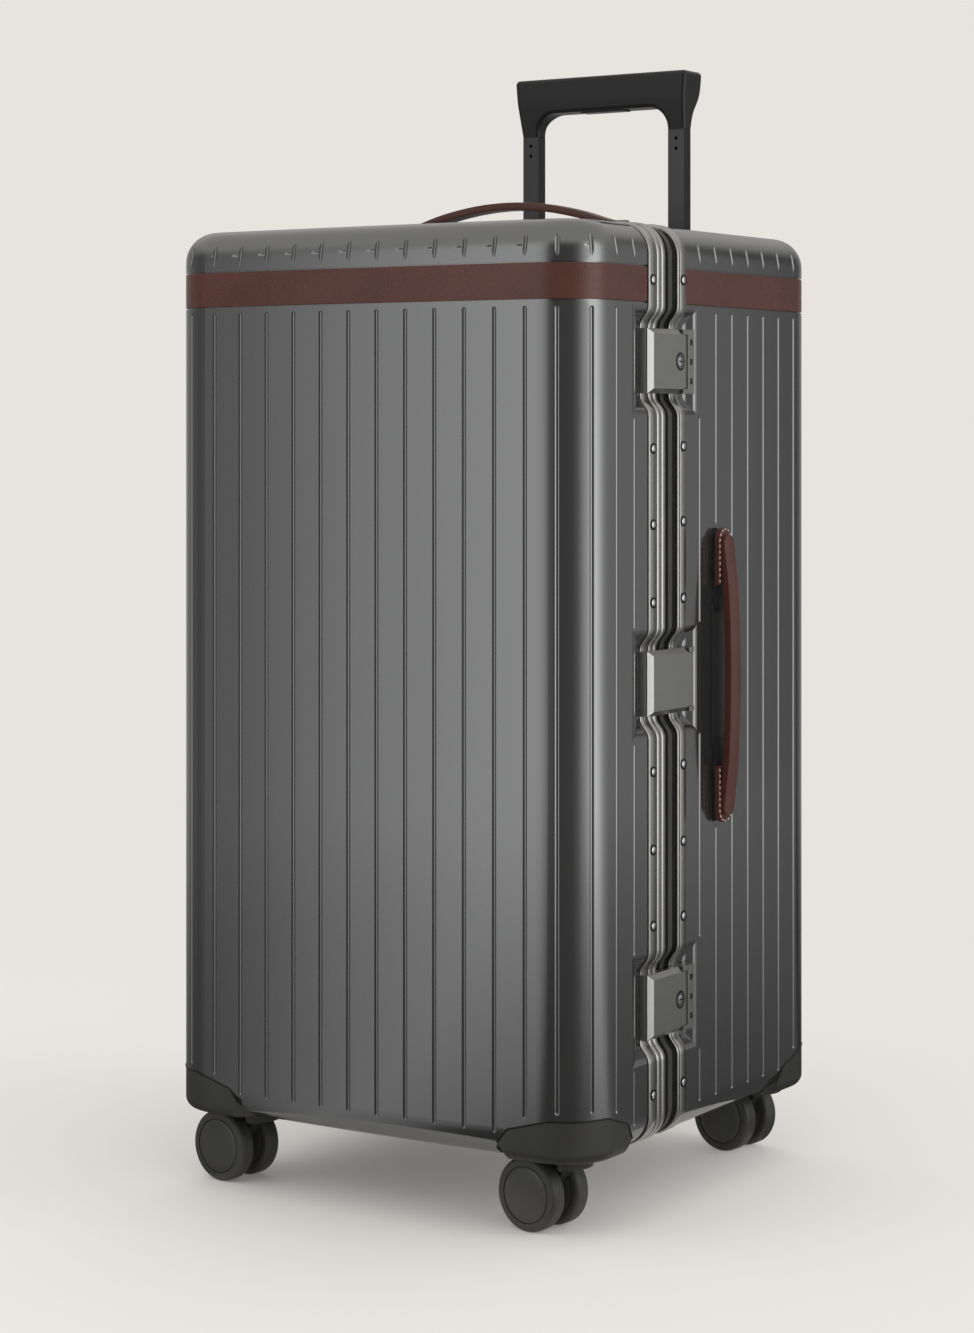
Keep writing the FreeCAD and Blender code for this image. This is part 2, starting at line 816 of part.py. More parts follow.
def make_latch_body(level, has_lock):
    pivot = latch_pivot(has_lock)
    z0 = level - latch_length / 2
    z1 = level + latch_length / 2
    pieces = []
    for side in (z0, z1 - cheek_thickness):
        pieces.append(box(latch_seat, latch_top, pivot.y - barrel_radius, latch_back,
                          side, side + cheek_thickness))
    pin_hole = rod(pin_radius + seat_clearance, V(pivot.x, pivot.y, z0), V(pivot.x, pivot.y, z1))
    if not has_lock:
        pieces.append(box(latch_seat, latch_seat + clasp_plate, base_strip_front, latch_back, z0, z1))
        return fuse(pieces).cut(pin_hole)
    pieces.append(box(latch_seat, latch_top, latch_back - lock_block_width, latch_back, z0, z1))
    body = fuse(pieces).cut(pin_hole)
    for index in range(dial_count):
        place = dial_place(level, index)
        reach = V(0, 0, dial_width / 2 + dial_clearance)
        body = body.cut(rod(dial_radius + dial_clearance, place - reach, place + reach))
    ends = V(0, 0, latch_length / 2 - cheek_thickness)
    axle_place = dial_place(level, (dial_count - 1) / 2)
    return fuse([body, rod(dial_axle_radius, axle_place - ends, axle_place + ends)])


def make_latches():
    keepers = []
    pins = []
    for name, level in latch_levels.items():
        has_lock = name != "middle"
        stem = name + "_latch" if has_lock else "middle_clasp"
        save(make_latch_body(level, has_lock), stem + "_body")
        save(make_lever(level, has_lock), stem + "_lever")
        if has_lock:
            save(make_cylinder(level), stem + "_cylinder")
            for index in range(dial_count):
                save(make_dial(level, index), stem + "_dial_" + str(index + 1))
        half = latch_length / 2
        keepers.append(box(latch_seat, latch_top - lever_thickness - lever_gap, lid_strip_front,
                           lid_strip_back - 2 * frame_gap, level - half, level + half))
        pivot = latch_pivot(has_lock)
        pins.append(rod(pin_radius, V(pivot.x, pivot.y, level - half), V(pivot.x, pivot.y, level + half)))
    save(Part.makeCompound(keepers), "latch_keepers")
    save(Part.makeCompound(pins), "latch_pins")


def hinge_leaf_plate(y_near, y_far, level):
    seat = -(half_width + frame_proud + seat_clearance)
    y0, y1 = sorted((y_near, y_far))
    return box(seat - hinge_leaf, seat, y0, y1, level - hinge_length / 2, level + hinge_length / 2)


def hinge_knuckle(low, high, y_plate):
    """One barrel of a hinge with the web that joins it to its plate."""
    seat = -(half_width + frame_proud + seat_clearance)
    y0, y1 = sorted((hinge_y, y_plate))
    barrel = rod(hinge_knuckle_radius, V(hinge_x, hinge_y, low), V(hinge_x, hinge_y, high))
    return fuse([barrel, box(seat - hinge_leaf, seat, y0, y1, low, high)])


def make_hinges():
    lid_leaves = []
    base_leaves = []
    pins = []
    for level in (middle_z - hinge_share * case_height, middle_z + hinge_share * case_height):
        low = level - hinge_length / 2
        high = level + hinge_length / 2
        inner = hinge_middle_length / 2
        axis_low = V(hinge_x, hinge_y, low)
        axis_high = V(hinge_x, hinge_y, high)
        lid_edge = hinge_y - hinge_leaf_step
        base_edge = hinge_y + hinge_leaf_step
        lid_plate = hinge_leaf_plate(lid_edge, lid_strip_front + hinge_leaf_margin, level)
        lid_knuckle = hinge_knuckle(level - inner, level + inner, lid_edge)
        lid_bore = rod(hinge_pin_radius + running_clearance, axis_low, axis_high)
        lid_leaves.append(fuse([lid_plate, lid_knuckle]).cut(lid_bore))
        base_plate = hinge_leaf_plate(base_edge, base_strip_back - hinge_leaf_margin, level)
        lower_knuckle = hinge_knuckle(low, level - inner - hinge_gap, base_edge)
        upper_knuckle = hinge_knuckle(level + inner + hinge_gap, high, base_edge)
        base_bore = rod(hinge_pin_radius + seat_clearance, axis_low, axis_high)
        base_leaves.append(fuse([base_plate, lower_knuckle, upper_knuckle]).cut(base_bore))
        pins.append(rod(hinge_pin_radius, axis_low, axis_high))
    save(Part.makeCompound(lid_leaves), "lid_hinge_leaves")
    save(Part.makeCompound(base_leaves), "base_hinge_leaves")
    save(Part.makeCompound(pins), "hinge_pins")


def tube_section(stage):
    """Outer size of a trolley tube: 0 is the upper stage, 2 the fixed one."""
    growth = 2 * stage * (tube_wall + tube_gap)
    return upper_tube[0] + growth, upper_tube[1] + growth


def tube_bar(stage, low, high, margin):
    """Both tubes of one stage as solid bars, grown all round by a margin."""
    width, depth = tube_section(stage)
    bars = []
    for x in (-trolley_spacing / 2, trolley_spacing / 2):
        bars.append(box(x - width / 2 - margin, x + width / 2 + margin, trolley_y - depth / 2 - margin,
                        trolley_y + depth / 2 + margin, low, high))
    return bars


def tube_pair(stage, low, high, wall):
    outer = tube_bar(stage, low, high, 0.0)
    inner = tube_bar(stage, low - overcut, high + overcut, -wall)
    return [shell.cut(core) for shell, core in zip(outer, inner)]


def bezel_block(margin):
    width = trolley_spacing / 2 + tube_section(2)[0] / 2 + bezel_side
    return box(-width - margin, width + margin, trolley_y - bezel_depth / 2 - margin,
               trolley_y + bezel_depth / 2 + margin, top_z - bezel_height - margin, top_z + bezel_proud)


def grip_corners():
    """The grip's outline from the front: a bar and two legs that narrow to the tubes."""
    seam = top_z + trolley_shown
    top = seam + grip_height
    leg_out = trolley_spacing / 2 + upper_tube[0] / 2 + grip_leg_wall
    leg_in = trolley_spacing / 2 - upper_tube[0] / 2 - grip_leg_wall
    right = [
        (leg_in, top - grip_bar, grip_inner_round),
        (leg_in, seam, 0.0),
        (leg_out, seam, 0.0),
        (grip_width / 2, top, grip_corner),
    ]
    left = [(-u, v, radius) for u, v, radius in reversed(right)]
    return right + left


def grip_side_corners():
    """The grip from the side: a bar that swells to the rear, above legs that narrow to the tubes."""
    seam = top_z + trolley_shown
    top = seam + grip_height
    knee = seam + grip_knee
    thin = upper_tube[1] / 2 + grip_leg_wall
    return [
        (trolley_y - thin, seam, 0.0),
        (trolley_y + thin, seam, 0.0),
        (trolley_y + thin + grip_heel_out, seam + grip_heel, grip_heel_bend),
        (trolley_y + grip_back, knee, grip_knee_bend),
        (trolley_y + grip_back, top, 0.0),
        (trolley_y - grip_front, top, 0.0),
        (trolley_y - grip_front, knee, grip_knee_bend),
    ]


def is_cross_edge(edge):
    """Whether an edge of the grip only runs through its depth, along Y."""
    box_of_edge = edge.BoundBox
    return box_of_edge.XLength < touch and box_of_edge.ZLength < touch


def make_trolley():
    seam = top_z + trolley_shown
    upper = tube_pair(0, seam - upper_tube_length, seam, upper_wall)
    holes = []
    for x in (-trolley_spacing / 2, trolley_spacing / 2):
        for drop in tube_hole_drops:
            start = V(x, trolley_y - upper_tube[1], seam - drop)
            holes.append(rod(tube_hole_radius, start, V(x, trolley_y, seam - drop)))
    save(Part.makeCompound([tube.cut(holes) for tube in upper]), "trolley_upper_tubes")
    lower = tube_pair(1, top_z - lower_tube_length, top_z, tube_wall)
    save(Part.makeCompound(lower), "trolley_lower_tubes")
    inside = shell_wall + tube_end_gap
    fixed = tube_pair(2, bottom_z + inside, top_z - inside, tube_wall)
    save(Part.makeCompound(fixed), "trolley_outer_tubes")
    passage = tube_bar(1, top_z - bezel_height - overcut, top_z + bezel_proud + overcut, tube_gap)
    save(bezel_block(0.0).cut(passage), "trolley_bezel")

    grip = rounded_face(grip_corners(), wall_point)
    grip_depth = grip_front + grip_back
    grip.translate(V(0, trolley_y - grip_depth, 0))
    side_view = rounded_face(grip_side_corners(), side_point)
    side_view.translate(V(-grip_width, 0, 0))
    grip = grip.extrude(V(0, 2 * grip_depth, 0)).common(side_view.extrude(V(2 * grip_width, 0, 0)))
    rims = [
        edge for edge in grip.Edges
        if edge.BoundBox.ZMax > seam + touch and not is_cross_edge(edge)
    ]
    grip = grip.makeFillet(grip_round, rims)
    under = seam + grip_height - grip_bar
    hole_top = under - button_proud + button_height + button_travel + button_clearance
    button_bottom = under - button_proud
    wide = button_length / 2
    deep = button_width / 2
    hole = box(-wide - button_clearance, wide + button_clearance, trolley_y - deep - button_clearance,
               trolley_y + deep + button_clearance, under - overcut, hole_top)
    save(grip.cut(hole), "trolley_grip")
    button = box(-wide, wide, trolley_y - deep, trolley_y + deep, button_bottom,
                 button_bottom + button_height)
    save(button, "trolley_button")


def strap_solid(length, arch):
    """A leather strap along U with flat ends and a raised middle; U is X, its height is Z."""
    half = length / 2
    flat = half - strap_flat
    slope = strap_slope_share * flat
    crest = flat - slope
    lean = math.atan2(arch, slope)
    bend = strap_bend_share * min(crest, slope / 2) / math.tan(lean / 2)
    under = anchor_height + seat_clearance
    over = under + strap_thickness
    corners = [
        (-half, under, 0.0),
        (-flat, under, bend),
        (-crest, under + arch, bend),
        (crest, under + arch, bend),
        (flat, under, bend),
        (half, under, 0.0),
        (half, over, 0.0),
        (flat, over, bend),
        (crest, over + arch, bend),
        (-crest, over + arch, bend),
        (-flat, over, bend),
        (-half, over, 0.0),
    ]
    strap = rounded_face(corners, wall_point)
    strap.translate(V(0, -strap_width / 2, 0))
    strap = strap.extrude(V(0, strap_width, 0))
    reach = over + arch + overcut
    end = (strap_width - strap_end_flat) / 2
    outline = rounded_face([
        (-half, -strap_width / 2, end), (half, -strap_width / 2, end),
        (half, strap_width / 2, end), (-half, strap_width / 2, end),
    ], floor_point)
    strap = strap.common(outline.extrude(V(0, 0, reach)))
    rims = [
        edge for edge in strap.Edges
        if edge.BoundBox.ZLength < strap_edge or edge.BoundBox.XLength > strap_thickness
    ]
    return strap.makeFillet(strap_edge, rims)


def rounded_plate(length, width, rounding, height, center):
    """A flat plate with round corners, lying at U = center."""
    half = length / 2
    wide = width / 2
    face = rounded_face([
        (center - half, -wide, rounding), (center + half, -wide, rounding),
        (center + half, wide, rounding), (center - half, wide, rounding),
    ], floor_point)
    return face.extrude(V(0, 0, height))


def strap_anchors(length):
    """The seats under a strap's ends, joined by a thin plate."""
    middle = length / 2 - anchor_margin - anchor_length / 2
    plate_length = 2 * (middle - anchor_length / 2 + anchor_round)
    pieces = [rounded_plate(plate_length, anchor_plate_width, anchor_plate_round, anchor_plate, 0.0)]
    for side in (-1, 1):
        pieces.append(rounded_plate(anchor_length, anchor_width, anchor_round, anchor_height, side * middle))
    return fuse(pieces)


def make_handles():
    turn = FreeCAD.Rotation(V(0, 1, 0), 90)
    beside = FreeCAD.Placement(V(half_width, side_handle_y, middle_z), turn)
    above = FreeCAD.Placement(V(0, top_handle_y, top_z), FreeCAD.Rotation())
    for place, length, arch, name in (
        (beside, side_handle_length, side_arch, "side_handle"),
        (above, top_handle_length, top_arch, "top_handle"),
    ):
        strap = strap_solid(length, arch)
        strap.Placement = place
        save(strap, name)
        anchors = strap_anchors(length)
        anchors.Placement = place
        save(anchors, name + "_anchors")


def make_guards():
    for is_lid, end in ((True, "front"), (False, "rear")):
        cover = guard_body(is_lid)
        for side, point in swivel_points(is_lid).items():
            piece = cover if side == "right" else mirrored(cover)
            low = V(point.x, point.y, bottom_z - socket_drop)
            high = V(point.x, point.y, bottom_z - socket_drop + stem_length + swivel_gap)
            socket = rod(socket_radius, low, high)
            bore = rod(stem_radius + running_clearance, low - V(0, 0, overcut), high + V(0, 0, overcut))
            save(fuse([piece, socket]).cut(bore), end + "_" + side + "_guard")


def fork_solid():
    """A fork in its own frame: swivel axis at X = Y = 0, wheels behind it at -X."""
    disc_top = bottom_z - socket_drop - swivel_gap
    disc_low = disc_top - fork_disc
    half = wheel_gap / 2 - fork_side_gap
    disc = rod(fork_disc_radius, V(0, 0, disc_low), V(0, 0, disc_top))
    stem = rod(stem_radius, V(0, 0, disc_low), V(0, 0, disc_top + stem_length))
    boss = rod(fork_axle_boss, V(-caster_trail, -half, wheel_radius), V(-caster_trail, half, wheel_radius))
    web = Part.Face(Part.makePolygon([
        V(-caster_trail - fork_axle_boss, -half, wheel_radius),
        V(-caster_trail + fork_axle_boss, -half, wheel_radius),
        V(fork_disc_radius, -half, disc_low),
        V(-fork_disc_radius, -half, disc_low),
        V(-caster_trail - fork_axle_boss, -half, wheel_radius),
    ])).extrude(V(0, 2 * half, 0))
    clear_x = wheel_radius - caster_trail + fork_side_gap
    nose = rod(fork_nose, V(0, 0, disc_top - fork_nose_height), V(0, 0, disc_top))
    nose = nose.common(box(clear_x, far, -fork_disc_radius, fork_disc_radius, 0, far))
    bridge = box(0, clear_x, -half, half, disc_top - fork_nose_height, disc_top)
    axle_hole = rod(axle_radius + seat_clearance, V(-caster_trail, -half, wheel_radius),
                    V(-caster_trail, half, wheel_radius))
    return fuse([disc, stem, boss, web, nose, bridge]).cut(axle_hole)


def wheel_solid():
    """A wheel in its own frame: axle along Y, inner face at Y = 0, outer face towards -Y."""
    tyre = rod(wheel_radius, V(0, 0, 0), V(0, -wheel_width, 0))
    rims = [edge for edge in tyre.Edges if edge.BoundBox.YLength < touch]
    tyre = tyre.makeFillet(wheel_edge, rims)
    face = V(0, -wheel_width, 0)
    inside = V(0, hub_groove - wheel_width, 0)
    ring = rod(hub_radius + hub_groove, face, inside).cut(rod(hub_radius, face, inside))
    bore = rod(axle_radius + running_clearance, V(0, 0, 0), V(0, axle_cover - wheel_width, 0))
    return tyre.cut([ring, bore])


def make_casters():
    reach = wheel_gap / 2 + wheel_width - axle_cover - frame_gap
    for is_lid, end in ((True, "front"), (False, "rear")):
        for side, point in swivel_points(is_lid).items():
            place = FreeCAD.Placement(point, FreeCAD.Rotation(V(0, 0, 1), caster_turn))
            fork = fork_solid()
            axle = rod(axle_radius, V(-caster_trail, -reach, wheel_radius),
                       V(-caster_trail, reach, wheel_radius))
            near = wheel_solid()
            far_wheel = near.mirror(V(0, 0, 0), V(0, 1, 0))
            near.translate(V(-caster_trail, -wheel_gap / 2, wheel_radius))
            far_wheel.translate(V(-caster_trail, wheel_gap / 2, wheel_radius))
            stem = end + "_" + side
            for shape, name in ((fork, "_fork"), (axle, "_axle"), (near, "_wheel_a"),
                                (far_wheel, "_wheel_b")):
                shape.Placement = place.multiply(shape.Placement)
                save(shape, stem + name)


def lining_block(inset, y0, y1):
    """The space inside the frame's opening, kept clear of the shells, moved inward by inset."""
    left = -half_width + frame_depth + lining_gap + inset
    right = half_width - jog_depth - frame_depth - lining_gap - inset
    low = bottom_z + frame_depth + lining_gap + inset
    high = top_z - frame_depth - lining_gap - inset
    rounding = lining_round - inset
    face = rounded_face([
        (left, low, rounding), (right, low, rounding), (right, high, rounding), (left, high, rounding),
    ], wall_point)
    face.translate(V(0, y0, 0))
    return face.extrude(V(0, y1 - y0, 0)).common(case_block(shell_wall + lining_gap + inset))


def make_linings():
    base_floor = trolley_y - tube_section(2)[1] / 2 - lining_gap
    base_tray = lining_block(0.0, base_strip_front, base_floor)
    base_hollow = lining_block(lining_thickness, base_strip_front - overcut, base_floor - lining_thickness)
    save(base_tray.cut(base_hollow), "base_lining")
    lid_floor = front_y - front_crown
    lid_tray = lining_block(0.0, lid_floor, lid_strip_back)
    lid_hollow = lining_block(lining_thickness, lid_floor, lid_strip_back + overcut)
    save(lid_tray.cut(lid_hollow), "lid_lining")


os.makedirs("parts", exist_ok=True)
make_shells()
make_bands()
make_frames()
make_rivets()
make_latches()
make_hinges()
make_trolley()
make_handles()
make_guards()
make_casters()
make_linings()
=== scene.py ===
import bpy
import bmesh
import json
import math
from mathutils import Matrix, Vector


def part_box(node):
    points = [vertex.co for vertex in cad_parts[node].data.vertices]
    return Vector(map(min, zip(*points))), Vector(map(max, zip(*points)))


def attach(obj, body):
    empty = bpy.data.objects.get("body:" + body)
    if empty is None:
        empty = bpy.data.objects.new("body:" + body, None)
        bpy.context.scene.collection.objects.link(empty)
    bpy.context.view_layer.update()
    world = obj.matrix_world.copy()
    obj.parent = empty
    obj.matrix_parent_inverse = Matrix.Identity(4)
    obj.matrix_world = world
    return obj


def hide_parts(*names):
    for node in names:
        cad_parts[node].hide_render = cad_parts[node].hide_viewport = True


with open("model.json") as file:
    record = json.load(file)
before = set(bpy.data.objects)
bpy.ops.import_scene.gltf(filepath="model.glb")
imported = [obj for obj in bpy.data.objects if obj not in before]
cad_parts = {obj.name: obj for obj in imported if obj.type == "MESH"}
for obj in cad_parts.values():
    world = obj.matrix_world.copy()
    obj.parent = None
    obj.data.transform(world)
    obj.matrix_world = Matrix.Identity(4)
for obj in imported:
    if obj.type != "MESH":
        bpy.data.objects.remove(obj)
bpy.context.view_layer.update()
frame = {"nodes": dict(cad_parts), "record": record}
nodes = frame["nodes"]
print("frame loaded:", len(nodes), "nodes")

floatIn = "NodeSocketFloat"
colorIn = "NodeSocketColor"
vectorIn = "NodeSocketVector"


def addNode(tree, kind, **settings):
    node = tree.nodes.new(kind)
    for key, value in settings.items():
        if key.startswith("in_"):
            node.inputs[key[3:].replace("_", " ")].default_value = value
        else:
            setattr(node, key, value)
    return node


# Feeds an input from another node's output, or with a plain value
def wire(tree, source, target):
    if isinstance(source, bpy.types.NodeSocket):
        tree.links.new(source, target)
    else:
        target.default_value = source


def mapRange(tree, source, low, high, **settings):
    node = addNode(tree, "ShaderNodeMapRange", **settings)
    wire(tree, source, node.inputs["Value"])
    wire(tree, low, node.inputs["To Min"])
    wire(tree, high, node.inputs["To Max"])
    return node.outputs["Result"]


def combine(tree, operation, first, second):
    node = addNode(tree, "ShaderNodeMath", operation=operation)
    wire(tree, first, node.inputs[0])
    wire(tree, second, node.inputs[1])
    return node.outputs[0]


# A group that turns a place into a colour, a roughness and a height
def newGroup(name, inputs):
    group = bpy.data.node_groups.new(name, "ShaderNodeTree")
    for label, kind, value in [("Vector", vectorIn, (0, 0, 0))] + inputs:
        socket = group.interface.new_socket(name=label, in_out="INPUT", socket_type=kind)
        socket.default_value = value
    for label, kind in (("Color", colorIn), ("Roughness", floatIn), ("Height", floatIn)):
        group.interface.new_socket(name=label, in_out="OUTPUT", socket_type=kind)
    return group, group.nodes.new("NodeGroupInput"), group.nodes.new("NodeGroupOutput")


# The group's colour, between its dark and its light tone
def mixTone(group, start, end, factor):
    tone = addNode(group, "ShaderNodeMix", data_type="RGBA")
    wire(group, factor, tone.inputs["Factor"])
    wire(group, start.outputs["Dark"], tone.inputs[6])
    wire(group, start.outputs["Light"], tone.inputs[7])
    wire(group, tone.outputs[2], end.inputs["Color"])


# Fine moulded or painted grain: a small bump, a roughness that wanders and a faint tone
grainLook = {"grainShare": 0.35}


def makeFineGrain():
    group, start, end = newGroup("fineGrain", [
        ("Grain Scale", floatIn, 900.0), ("Patch Scale", floatIn, 14.0),
        ("Rough Low", floatIn, 0.35), ("Rough High", floatIn, 0.45),
        ("Dark", colorIn, (0.2, 0.2, 0.2, 1)), ("Light", colorIn, (0.25, 0.25, 0.25, 1))])
    grain = addNode(group, "ShaderNodeTexNoise", in_Detail=3.0, in_Roughness=0.6)
    patch = addNode(group, "ShaderNodeTexNoise", in_Detail=4.0, in_Roughness=0.55)
    for noise, label in ((grain, "Grain Scale"), (patch, "Patch Scale")):
        wire(group, start.outputs["Vector"], noise.inputs["Vector"])
        wire(group, start.outputs[label], noise.inputs["Scale"])
    blend = addNode(group, "ShaderNodeMath", operation="MULTIPLY_ADD")
    wire(group, grain.outputs["Fac"], blend.inputs[0])
    wire(group, grainLook["grainShare"], blend.inputs[1])
    wire(group, patch.outputs["Fac"], blend.inputs[2])
    mixTone(group, start, end, blend.outputs[0])
    rough = mapRange(group, patch.outputs["Fac"], start.outputs["Rough Low"], start.outputs["Rough High"])
    wire(group, rough, end.inputs["Roughness"])
    wire(group, grain.outputs["Fac"], end.inputs["Height"])
    return group


# Long fine scratches of drawn or brushed metal, along whichever axis the mapping leaves unstretched
def makeBrushed():
    group, start, end = newGroup("brushedMetal", [
        ("Rough Low", floatIn, 0.25), ("Rough High", floatIn, 0.4),
        ("Dark", colorIn, (0.4, 0.4, 0.4, 1)), ("Light", colorIn, (0.6, 0.6, 0.6, 1))])
    streak = addNode(group, "ShaderNodeTexNoise", in_Scale=1.0, in_Detail=5.0, in_Roughness=0.7)
    wire(group, start.outputs["Vector"], streak.inputs["Vector"])
    mixTone(group, start, end, streak.outputs["Fac"])
    rough = mapRange(group, streak.outputs["Fac"], start.outputs["Rough Low"], start.outputs["Rough High"])
    wire(group, rough, end.inputs["Roughness"])
    wire(group, streak.outputs["Fac"], end.inputs["Height"])
    return group


# Leather: cells with creases between them, and cloudy dye
leatherLook = {"warpScale": 180.0, "warpReach": 0.0012, "creaseWidth": 0.25, "creaseShade": 0.72,
               "roughDark": 0.52, "roughLight": 0.36}


def makeLeatherGrain():
    group, start, end = newGroup("leatherGrain", [
        ("Cell Scale", floatIn, 700.0), ("Cloud Scale", floatIn, 22.0),
        ("Dark", colorIn, (0.07, 0.03, 0.02, 1)), ("Light", colorIn, (0.12, 0.05, 0.04, 1))])
    warp = addNode(group, "ShaderNodeTexNoise", in_Scale=leatherLook["warpScale"], in_Detail=2.0)
    wire(group, start.outputs["Vector"], warp.inputs["Vector"])
    bent = addNode(group, "ShaderNodeVectorMath", operation="MULTIPLY_ADD")
    wire(group, warp.outputs["Color"], bent.inputs[0])
    wire(group, (leatherLook["warpReach"],) * 3, bent.inputs[1])
    wire(group, start.outputs["Vector"], bent.inputs[2])
    cells = addNode(group, "ShaderNodeTexVoronoi", feature="DISTANCE_TO_EDGE")
    wire(group, bent.outputs[0], cells.inputs["Vector"])
    wire(group, start.outputs["Cell Scale"], cells.inputs["Scale"])
    crease = mapRange(group, cells.outputs["Distance"], 0.0, 1.0, in_From_Max=leatherLook["creaseWidth"])
    cloud = addNode(group, "ShaderNodeTexNoise", in_Detail=6.0, in_Roughness=0.6)
    wire(group, start.outputs["Vector"], cloud.inputs["Vector"])
    wire(group, start.outputs["Cloud Scale"], cloud.inputs["Scale"])
    shade = mapRange(group, crease, leatherLook["creaseShade"], 1.0)
    mixTone(group, start, end, combine(group, "MULTIPLY", cloud.outputs["Fac"], shade))
    rough = mapRange(group, cloud.outputs["Fac"], leatherLook["roughDark"], leatherLook["roughLight"])
    wire(group, rough, end.inputs["Roughness"])
    wire(group, crease, end.inputs["Height"])
    return group


# Woven lining cloth: threads along all three axes, so that each wall shows two sets that cross
weaveLook = {"share": 0.33, "roughDark": 0.95, "roughLight": 0.75}


def makeWeave():
    group, start, end = newGroup("liningWeave", [
        ("Thread Scale", floatIn, 260.0),
        ("Dark", colorIn, (0.03, 0.03, 0.03, 1)), ("Light", colorIn, (0.08, 0.08, 0.08, 1))])
    total = 0.0
    for direction in ("X", "Y", "Z"):
        wave = addNode(group, "ShaderNodeTexWave", wave_type="BANDS", bands_direction=direction,
                       in_Distortion=0.4, in_Detail=1.0)
        wire(group, start.outputs["Vector"], wave.inputs["Vector"])
        wire(group, start.outputs["Thread Scale"], wave.inputs["Scale"])
        total = combine(group, "ADD", total, wave.outputs["Fac"])
    threads = combine(group, "MULTIPLY", total, weaveLook["share"])
    mixTone(group, start, end, threads)
    rough = mapRange(group, threads, weaveLook["roughDark"], weaveLook["roughLight"])
    wire(group, rough, end.inputs["Roughness"])
    wire(group, threads, end.inputs["Height"])
    return group


effects = {
    "grain": makeFineGrain(),
    "brushed": makeBrushed(),
    "leather": makeLeatherGrain(),
    "weave": makeWeave(),
}
print("shared effects built:", ", ".join(effects))


# One finish: a group that feeds colour, roughness and bump, and a shader with plain values
def finish(name, effect, values, bump, bumpDistance, shader, stretch=(1, 1, 1)):
    material = bpy.data.materials.new(name)
    material.use_nodes = True
    tree = material.node_tree
    skin = tree.nodes["Principled BSDF"]
    for label, value in shader.items():
        skin.inputs[label].default_value = value
    place = addNode(tree, "ShaderNodeTexCoord")
    mapping = addNode(tree, "ShaderNodeMapping", in_Scale=stretch)
    wire(tree, place.outputs["Object"], mapping.inputs["Vector"])
    group = addNode(tree, "ShaderNodeGroup", node_tree=effects[effect])
    for label, value in values.items():
        group.inputs[label].default_value = value
    wire(tree, mapping.outputs["Vector"], group.inputs["Vector"])
    wire(tree, group.outputs["Color"], skin.inputs["Base Color"])
    wire(tree, group.outputs["Roughness"], skin.inputs["Roughness"])
    raised = addNode(tree, "ShaderNodeBump", in_Strength=bump, in_Distance=bumpDistance)
    wire(tree, group.outputs["Height"], raised.inputs["Height"])
    wire(tree, raised.outputs["Normal"], skin.inputs["Normal"])
    return material


def grey(level, tint=(1, 1, 1)):
    return (level * tint[0], level * tint[1], level * tint[2], 1)


